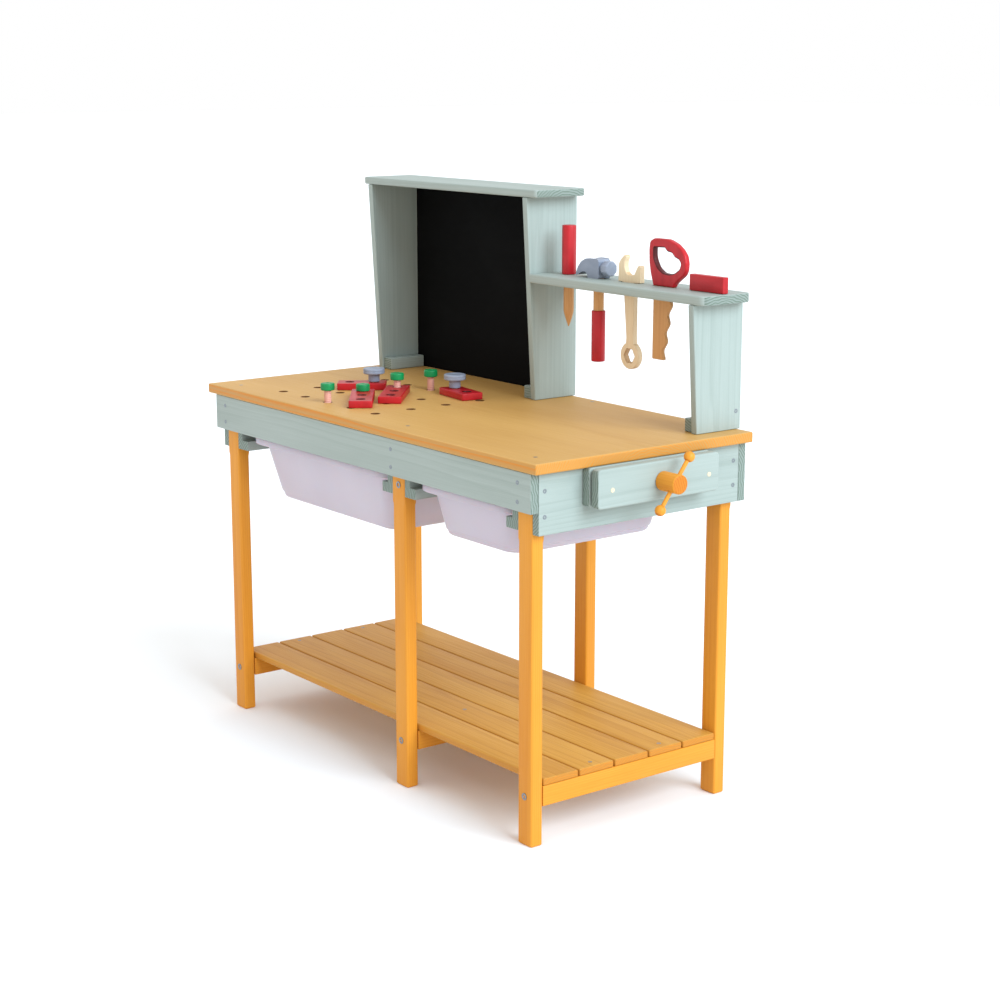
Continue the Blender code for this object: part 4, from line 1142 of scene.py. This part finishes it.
# %% Hammer
low, high = limits("hammer_head")
stick_low = limits("hammer_handle")[0]
hammer_x = middle_of("hammer_handle", 0)
rest = low[2]
HALF_HEAD = 12.5 * MM
FACE_HEIGHT = 16.8 * MM
STICK_RADIUS = 8.75 * MM
HAMMER_GRIP_RADIUS = 11.5 * MM
JOINT_GAP = 0.2 * MM
HEAD_SIDE = np.array([(0, 11.5), (3, 12.5), (28, 12.5), (31.5, 9), (31.5, -8), (30, -20),
                      (24.5, -31), (15.5, -39), (1, -45), (5.5, -38), (10, -30), (10.5, -22),
                      (8, -16), (0, -13)]) * MM
HEAD_ROUND = np.array([1.3, 1.5, 1.5, 2, 8, 10, 10, 8, 1.1, 6, 5, 3, 3, 1.3]) * MM
head_outline = filleted(HEAD_SIDE + (rest, hammer_x), HEAD_ROUND, 4)
head = solid("hammer_head_block",
             [slab(head_outline, "y", tool_line - HALF_HEAD, tool_line + HALF_HEAD, 1.0 * MM)])


def octagon_loop(distance, reach):
    """An upright octagon with soft corners, at a distance along the hammer's head."""
    turn = (np.arange(8) + 0.5) * np.pi / 4
    corners = np.column_stack([np.cos(turn), np.sin(turn)]) * reach
    rim, _ = filleted(corners, 1.4 * MM, 3)
    return place_loop(rim + (tool_line, rest + FACE_HEIGHT), "x", hammer_x + distance)


FACE_RUN = np.array([(4, 10.4), (15, 10.4), (16.5, 10.8), (19, 12.8), (20, 13.2), (29.5, 13.2),
                     (31, 12.7), (32, 11.4), (32, 10)]) * MM
combine(head, [np.array([octagon_loop(d, r) for d, r in FACE_RUN])], "UNION")
dress(head, GREY, "hammer", ["hammer_head"], X, Y)

stick = solid("hammer_stick", [turned((hammer_x, tool_line, 0), Z,
                                      [stick_low[2], rest - JOINT_GAP], [STICK_RADIUS] * 2)])
dress(stick, BEECH, "hammer", ["hammer_handle"], Z, Y)
low, high = limits("hammer_grip")
along, radius = rounded_profile([(low[2], HAMMER_GRIP_RADIUS), (high[2], HAMMER_GRIP_RADIUS)],
                                [2 * MM, 1.5 * MM])
along = np.concatenate([along, [high[2], stick_low[2] - JOINT_GAP]])
radius = np.concatenate([radius, [STICK_RADIUS + 0.25 * MM] * 2])
grip = solid("hammer_grip_turned", [turned((hammer_x, tool_line, 0), Z, along, radius)])
dress(grip, RED, "hammer", ["hammer_grip"], Z, Y)
print("hammer head has", len(head.data.polygons), "faces")

# %% [markdown]
# ## The wrench
#
# A flat spanner sawn from pale plywood: a round eye with a six-sided hole below, and a tilted open
# jaw above the shelf. The eye is a true arc, and every other corner is rounded by the outline
# function. The edges are well sanded.

# %% Wrench
low, high = limits("wrench")
EYE_RADIUS = 22 * MM
EYE_FROM_RIGHT = 24.3 * MM
HEXAGON_REACH = 12.6 * MM
SHAFT = 8.5 * MM
JAW_SIDE = np.array([(0, 24.3), (26, 24.3), (28.5, 22), (27.5, 18), (21.5, 14), (13.5, 9.5),
                     (11.8, 5.5), (11.6, -5.3), (15.5, -11), (24, -14.5), (33, -14),
                     (41.5, -10), (43.5, -15.1), (36, -24.2), (27.5, -29.5), (0, -29.8)]) * MM
JAW_ROUND = np.array([1.4, 2, 1.6, 1.6, 8, 4, 4, 5, 5, 8, 8, 1.5, 1.8, 10, 6, 1.4]) * MM
eye = np.array([low[2] + EYE_RADIUS, high[0] - EYE_FROM_RIGHT])
swing = np.radians(np.linspace(25, 335, 27))
eye_arc = eye + EYE_RADIUS * np.column_stack([np.cos(swing), np.sin(swing)])
jaw_side = JAW_SIDE + (rest, eye[1])
shoulder = eye[0] + 1.35 * EYE_RADIUS
left_side = [(rest - 1.0 * MM, eye[1] - 2 * SHAFT), (shoulder, eye[1] - SHAFT)]
right_side = [(shoulder, eye[1] + SHAFT), (rest - 1.0 * MM, eye[1] + SHAFT)]
corners = np.vstack([eye_arc, left_side[::-1], jaw_side[::-1], right_side[::-1]])
rounding = np.concatenate([np.full(len(eye_arc), 0.01 * MM), [9 * MM, 3 * MM], JAW_ROUND[::-1],
                           [0.4 * MM, 9 * MM]])
wrench = solid("wrench_flat", [slab(filleted(corners, rounding, 3), "y", low[1],
                                    high[1], 1.3 * MM)])
turn = np.radians(np.arange(30, 390, 60))
hexagon = filleted(eye + HEXAGON_REACH * np.column_stack([np.cos(turn), np.sin(turn)]), 1.2 * MM, 3)
combine(wrench, [flared(hexagon, "y", low[1], high[1], 1.2 * MM)])
dress(wrench, PALE_BEECH, "wrench", ["wrench"], Z, Y)
print("wrench is", round((high[2] - low[2]) * 1000), "mm long with", len(wrench.data.polygons),
      "faces")

# %% [markdown]
# ## The saw
#
# The handle is a closed loop with a shaped finger hole, thick enough to hold, so its edges are
# generously rounded. The blade is a thin board whose teeth are soft waves: one edge is a falling
# line plus a cosine, so no child can be cut by it.

# %% Saw
low, high = limits("saw_handle")
HANDLE_SIDE = np.array([(0, -25), (20.5, -32), (37, -35.2), (57, -36), (70, -34), (75, -24),
                        (75.2, 9.5), (68.7, 28.4), (61, 40), (51.7, 48.4), (39.4, 51.3),
                        (28.1, 50.1), (20.5, 46), (11.3, 33.1), (5, 24.9), (0, 22)]) * MM
HANDLE_ROUND = np.array([2.3, 30, 30, 30, 7, 9, 30, 20, 18, 14, 14, 14, 14, 14, 4, 2.3]) * MM
FINGER_SIDE = np.array([(60.5, -24), (61.5, 1), (56, 6.5), (54.4, 18), (48, 24.5), (45, 34),
                        (39, 39.4), (30, 36), (22.5, 24), (20.5, 12), (21.5, -2), (29, -15),
                        (44, -24)]) * MM
FINGER_ROUND = np.array([2.5, 4, 5, 5, 5, 5, 5, 9, 14, 14, 16, 18, 24]) * MM
saw_x = low[0] - HANDLE_SIDE[:, 1].min()
handle_outline = filleted(HANDLE_SIDE + (low[2], saw_x), HANDLE_ROUND)
saw_handle = solid("saw_grip", [slab(handle_outline, "y", low[1], high[1], 2.2 * MM)])
finger_outline = filleted(FINGER_SIDE + (low[2], saw_x), FINGER_ROUND)
combine(saw_handle, [flared(finger_outline, "y", low[1], high[1], 2.0 * MM)])
dress(saw_handle, RED, "saw", ["saw_handle"], Z, Y)

TEETH = 4
TOOTH_DEPTH = 2.8 * MM
BLADE_FALL = 20.5 * MM
BLADE_LENGTH = 118 * MM
low, high = limits("saw_blade")
run = np.linspace(0, 1, 12 * TEETH + 1)
edge_x = high[0] - BLADE_FALL * run + TOOTH_DEPTH * (np.cos(2 * np.pi * TEETH * run) - 1)
edge_z = rest - CLEARANCE - BLADE_LENGTH * run
teeth = np.column_stack([edge_z, edge_x])
back = np.array([(edge_z[-1], low[0]), (edge_z[0], low[0] + 1 * MM)])
blade_corners = np.vstack([back, teeth])
blade_round = np.concatenate([[1.5, 1.5, 0.8], np.full(len(teeth) - 2, 0.01), [1.0]]) * MM
blade = solid("saw_blade_flat", [slab(filleted(blade_corners, blade_round, 2), "y", low[1], high[1],
                                      0.7 * MM)])
dress(blade, BEECH, "saw", ["saw_blade"], Z, Y)
print("saw has", TEETH, "soft teeth")

# %% [markdown]
# ## The try square
#
# A red stock that rests on the shelf and a bare blade that hangs through its slot. Both are plain
# sticks, eased all round.

# %% Try square
dress(straight_board("square_stock", "x", 1.3 * MM), RED, "try_square",
      ["square_stock"], X, Y)
low, high = limits("square_blade")
outline = rectangle(low[:2], high[:2], 0.9 * MM, 3)
square_blade = solid("square_blade_flat",
                     [slab(outline, "z", low[2], rest - JOINT_GAP, 0.8 * MM)])
dress(square_blade, BEECH, "try_square", ["square_blade"], Z, Y)
print("try square blade hangs", round((rest - low[2]) * 1000), "mm down")

# %% [markdown]
# ## Strips on the worktop
#
# Each red strip is a flat bar turned on the spot, with one hole over a peg hole of the grid. It is
# drawn straight in its own two directions and then laid along its heading, so the same function
# makes all four.

# %% Strips
STRIP_WIDTH = 40 * MM
STRIP_PITCH = 43 * MM
STRIP_HOLE = 7.7 * MM
STRIP_CORNER = 2.2 * MM
STRIP_EDGE = 1.3 * MM
STRIP_FLARE = 0.9 * MM


def make_strip(name, pegged, hole, holes, heading):
    """A bar holes * pitch long, whose given hole is over the peg hole."""
    low, high = limits(name)
    along = np.array([math.cos(math.radians(heading)), math.sin(math.radians(heading))])
    across = np.array([-along[1], along[0]])
    offsets = (np.arange(holes) - (holes - 1) / 2) * STRIP_PITCH
    centre = pegged - offsets[hole] * along
    half = np.array([holes * STRIP_PITCH, STRIP_WIDTH]) / 2
    rim, outwards = rectangle(-half, half, STRIP_CORNER, 4)
    basis = np.vstack([along, across])
    outline = (centre + rim @ basis, outwards @ basis)
    strip = solid(name + "_bar", [slab(outline, "z", low[2], high[2], STRIP_EDGE)])
    places = centre + offsets[:, None] * along
    combine(strip, [flared(circle(p, STRIP_HOLE), "z", low[2], high[2], STRIP_FLARE)
                    for p in places])
    dress(strip, RED, name, [name], (*along, 0), Z)


def peg(column, row):
    """The middle of one peg hole of the worktop."""
    return peg_first + np.array([column, row]) * PEG_PITCH


make_strip("strip_1", peg(1, 2), 1, 2, 53.0)
make_strip("strip_2", peg(2, 1), 0, 3, -36.0)
make_strip("strip_3", peg(2, 2), 0, 3, -41.9)
make_strip("strip_4", peg(3, 3), 0, 2, -8.0)
print("strip hole pitch", STRIP_PITCH, "m")

# %% [markdown]
# ## Wooden bolts
#
# A bolt is a ribbed stem glued into a lacquered head. The stem's ribs are a shallow thread, and the
# green heads have a dimple on top. The grey ones have a wide disc with a groove turned round it, on
# a collar.

# %% Bolts
STEM_RADIUS = 6.2 * MM
STEM_PITCH = 3.2 * MM
STEM_RIDGE = 0.45 * MM
DOME_HEIGHT, DOME_REACH = 12 * MM, 12 * MM
DISC_HEIGHT, DISC_REACH = 9.5 * MM, 19 * MM
COLLAR_HEIGHT, COLLAR_REACH = 14 * MM, 10 * MM
GROOVE = 0.7 * MM
DIMPLE = 2.4 * MM


def stem_rows(low, high):
    """The stem's distances and radii, threaded all the way."""
    along = np.linspace(low, high, 80)
    radius = STEM_RADIUS - STEM_RIDGE + thread(along, STEM_PITCH, STEM_RIDGE, 40)
    radius[0] -= 0.8 * MM
    return along, radius


def dome_profile(seat):
    """The green head: a plain button."""
    return [(seat, DOME_REACH), (seat + DOME_HEIGHT, DOME_REACH)], [1.6, 2.2]


def disc_profile(seat):
    """The grey head: a collar, then a wide disc with a groove turned round its rim."""
    groove = seat + 4 * MM
    points = [(seat - COLLAR_HEIGHT, COLLAR_REACH), (seat - 1 * MM, COLLAR_REACH),
              (seat, DISC_REACH), (groove, DISC_REACH), (groove + GROOVE, DISC_REACH - GROOVE),
              (groove + 2 * GROOVE, DISC_REACH), (seat + DISC_HEIGHT, DISC_REACH)]
    return points, [1, 0.8, 1.6, 0.2, 0.2, 0.2, 1.8]


def make_bolt(name, column, row, finish, disc):
    """A bolt on a peg hole: the model gives its height, the disc flag its kind of head."""
    low, high = limits(name)
    x, y = peg(column, row)
    seat = high[2] - (DISC_HEIGHT if disc else DOME_HEIGHT)
    along, radius = stem_rows(low[2], seat - 0.1 * MM - (COLLAR_HEIGHT if disc else 0))
    stem = solid(name + "_stem", [turned((x, y, 0), Z, along, radius, 40)])
    profile, rounds = disc_profile(seat) if disc else dome_profile(seat)
    along, radius = rounded_profile(profile, np.array(rounds) * MM, 5)
    top = high[2]
    along = np.concatenate([along, [top, top - 0.3 * MM, top - 1.6 * MM]])
    radius = np.concatenate([radius, [DIMPLE + 0.5 * MM, DIMPLE, DIMPLE * 0.7]])
    head = solid(name + "_head", [turned((x, y, 0), Z, along, radius)])
    dress(stem, STEM_WOOD, name, [name], Z, X)
    dress(head, finish, name, (), Z, X)


for row in range(PEG_ROWS):
    make_bolt(f"bolt_green_{row + 1}", 2, row, GREEN, False)
make_bolt("bolt_grey_1", 1, 2, GREY, True)
make_bolt("bolt_grey_2", 3, 3, GREY, True)
print("bolts stand on the column at x =", round(float(peg(2, 0)[0]), 4))

# %% [markdown]
# ## Screws and coach bolts
#
# The boards are held by small cross-head screws, and the legs by larger bolts with a six-sided
# socket. A head is a disc on a polar grid whose height is a function of the place on it: a low dome
# minus a recess. The recess is a cross, or a hexagon, with softened walls. All the heads of one
# kind on one side are one piece.

# %% Screw heads
SCREW_RADIUS = 3.4 * MM
BOLT_HEAD_RADIUS = 5.6 * MM
HEAD_SIDES = 32
HEXAGON_TURNS = (0, math.pi / 3, 2 * math.pi / 3)
FRONT_SCREW_HEIGHTS = (567 * MM, 538 * MM)
REAR_SCREW_HEIGHTS = (567 * MM, 512 * MM)
END_SCREW_HEIGHTS = (556 * MM, 517 * MM)
BEAM_BOLT_HEIGHT = 78.5 * MM
APRON_BOLT_HEIGHT = 507.5 * MM
BATTEN_SCREW_STEPS = (17 * MM, 58 * MM)


def soft_step(value, softness):
    """0 below zero, 1 above softness, smooth in between."""
    t = np.clip(value / softness, 0, 1)
    return t * t * (3 - 2 * t)


def head_stack(centre, normal, radius, socket, proud):
    """A fastener's head as loops, outermost first: a short skirt, then the domed top with its
    recess. The height at (u, v) is proud * (1 - (r / radius)^2 / 4) minus the recess's depth."""
    side, other = across_axis(normal)
    angle = np.arange(HEAD_SIDES) * 2 * np.pi / HEAD_SIDES
    rings = np.linspace(1.0, 0.04, 13) * radius
    u = rings[:, None] * np.cos(angle)
    v = rings[:, None] * np.sin(angle)
    if socket:
        edge = np.max([np.abs(u * math.cos(t) + v * math.sin(t)) for t in HEXAGON_TURNS], axis=0)
        inside = soft_step(0.5 * radius - edge, 0.08 * radius)
        depth = 0.35 * radius
    else:
        arms = np.minimum(np.abs(u), np.abs(v))
        reach = np.maximum(np.abs(u), np.abs(v))
        inside = soft_step(0.17 * radius - arms, 0.12 * radius)
        inside = inside * soft_step(0.62 * radius - reach, 0.12 * radius)
        depth = 0.28 * radius
    height = proud * (1 - 0.25 * (rings[:, None] / radius) ** 2) - depth * inside
    top = (np.asarray(centre) + u[..., None] * side + v[..., None] * other
           + height[..., None] * np.asarray(normal, float))
    skirt = top[:1] - (proud + 0.8 * MM) * np.asarray(normal, float)
    return np.concatenate([skirt, top])


def fasteners(name, places, normal, radius, socket=False, proud=0.35 * MM):
    """Join the heads at the given places into one piece on the frame."""
    heads = solid(name, [head_stack(p, normal, radius, socket, proud) for p in places])
    dress(heads, ZINC, "root", (), X, Z)


def grid(xs, ys, zs):
    """Every place whose coordinates come from the three lists."""
    return [(x, y, z) for x in xs for y in ys for z in zs]


leg_x = [middle_of(f"leg_front_{place}", 0) for place in PLACES]
leg_y = [middle_of(f"leg_{side}_right", 1) for side in ("front", "rear")]
front_face = limits("front_apron")[0][1]
rear_face = limits("rear_apron")[1][1]
right_face = limits("right_end_board")[1][0]
left_face = limits("left_end_board")[0][0]
fasteners("front_apron_screws", grid(leg_x, [front_face], FRONT_SCREW_HEIGHTS), -Y, SCREW_RADIUS)
fasteners("rear_apron_screws", grid(leg_x, [rear_face], REAR_SCREW_HEIGHTS), Y, SCREW_RADIUS)
fasteners("right_end_screws", grid([right_face], leg_y, END_SCREW_HEIGHTS), X, SCREW_RADIUS)
fasteners("left_end_screws", grid([left_face], leg_y, END_SCREW_HEIGHTS), -X, SCREW_RADIUS)

top_y = (top_low[1] + 36 * MM, top_high[1] - 16 * MM)
top_places = grid(leg_x, top_y[:1], top_high[2:]) + grid(leg_x[1:2], top_y[1:], top_high[2:])
fasteners("worktop_screws", top_places, Z, SCREW_RADIUS, proud=0.15 * MM)
slat_y = [middle_of(f"shelf_slat_{i}", 1) for i in (2, 4)]
fasteners("slat_screws", grid(leg_x, slat_y, limits("shelf_slat_1")[1][2:]), Z, SCREW_RADIUS,
          proud=0.2 * MM)

leg_front = limits("leg_front_left")[0][1]
leg_rear = limits("leg_rear_left")[1][1]
fasteners("front_leg_bolts", grid(leg_x, [leg_front], [BEAM_BOLT_HEIGHT])
          + [(leg_x[1], leg_front, APRON_BOLT_HEIGHT)], -Y, BOLT_HEAD_RADIUS, True, 1.2 * MM)
fasteners("rear_leg_bolts", grid(leg_x, [leg_rear], [BEAM_BOLT_HEIGHT]), Y, BOLT_HEAD_RADIUS,
          True, 1.2 * MM)

batten_screws = []
for name in battens:
    low, high = limits(name)
    batten_screws += [(middle_of(name, 0), low[1] + step, high[2]) for step in BATTEN_SCREW_STEPS]
fasteners("batten_screws", batten_screws, Z, SCREW_RADIUS, proud=0.2 * MM)
short_low, short_high = limits("short_panel")
fasteners("short_panel_screws", [(short_high[0], short_high[1] - 10 * MM, short_low[2] + 29 * MM)],
          X, SCREW_RADIUS, proud=0.2 * MM)
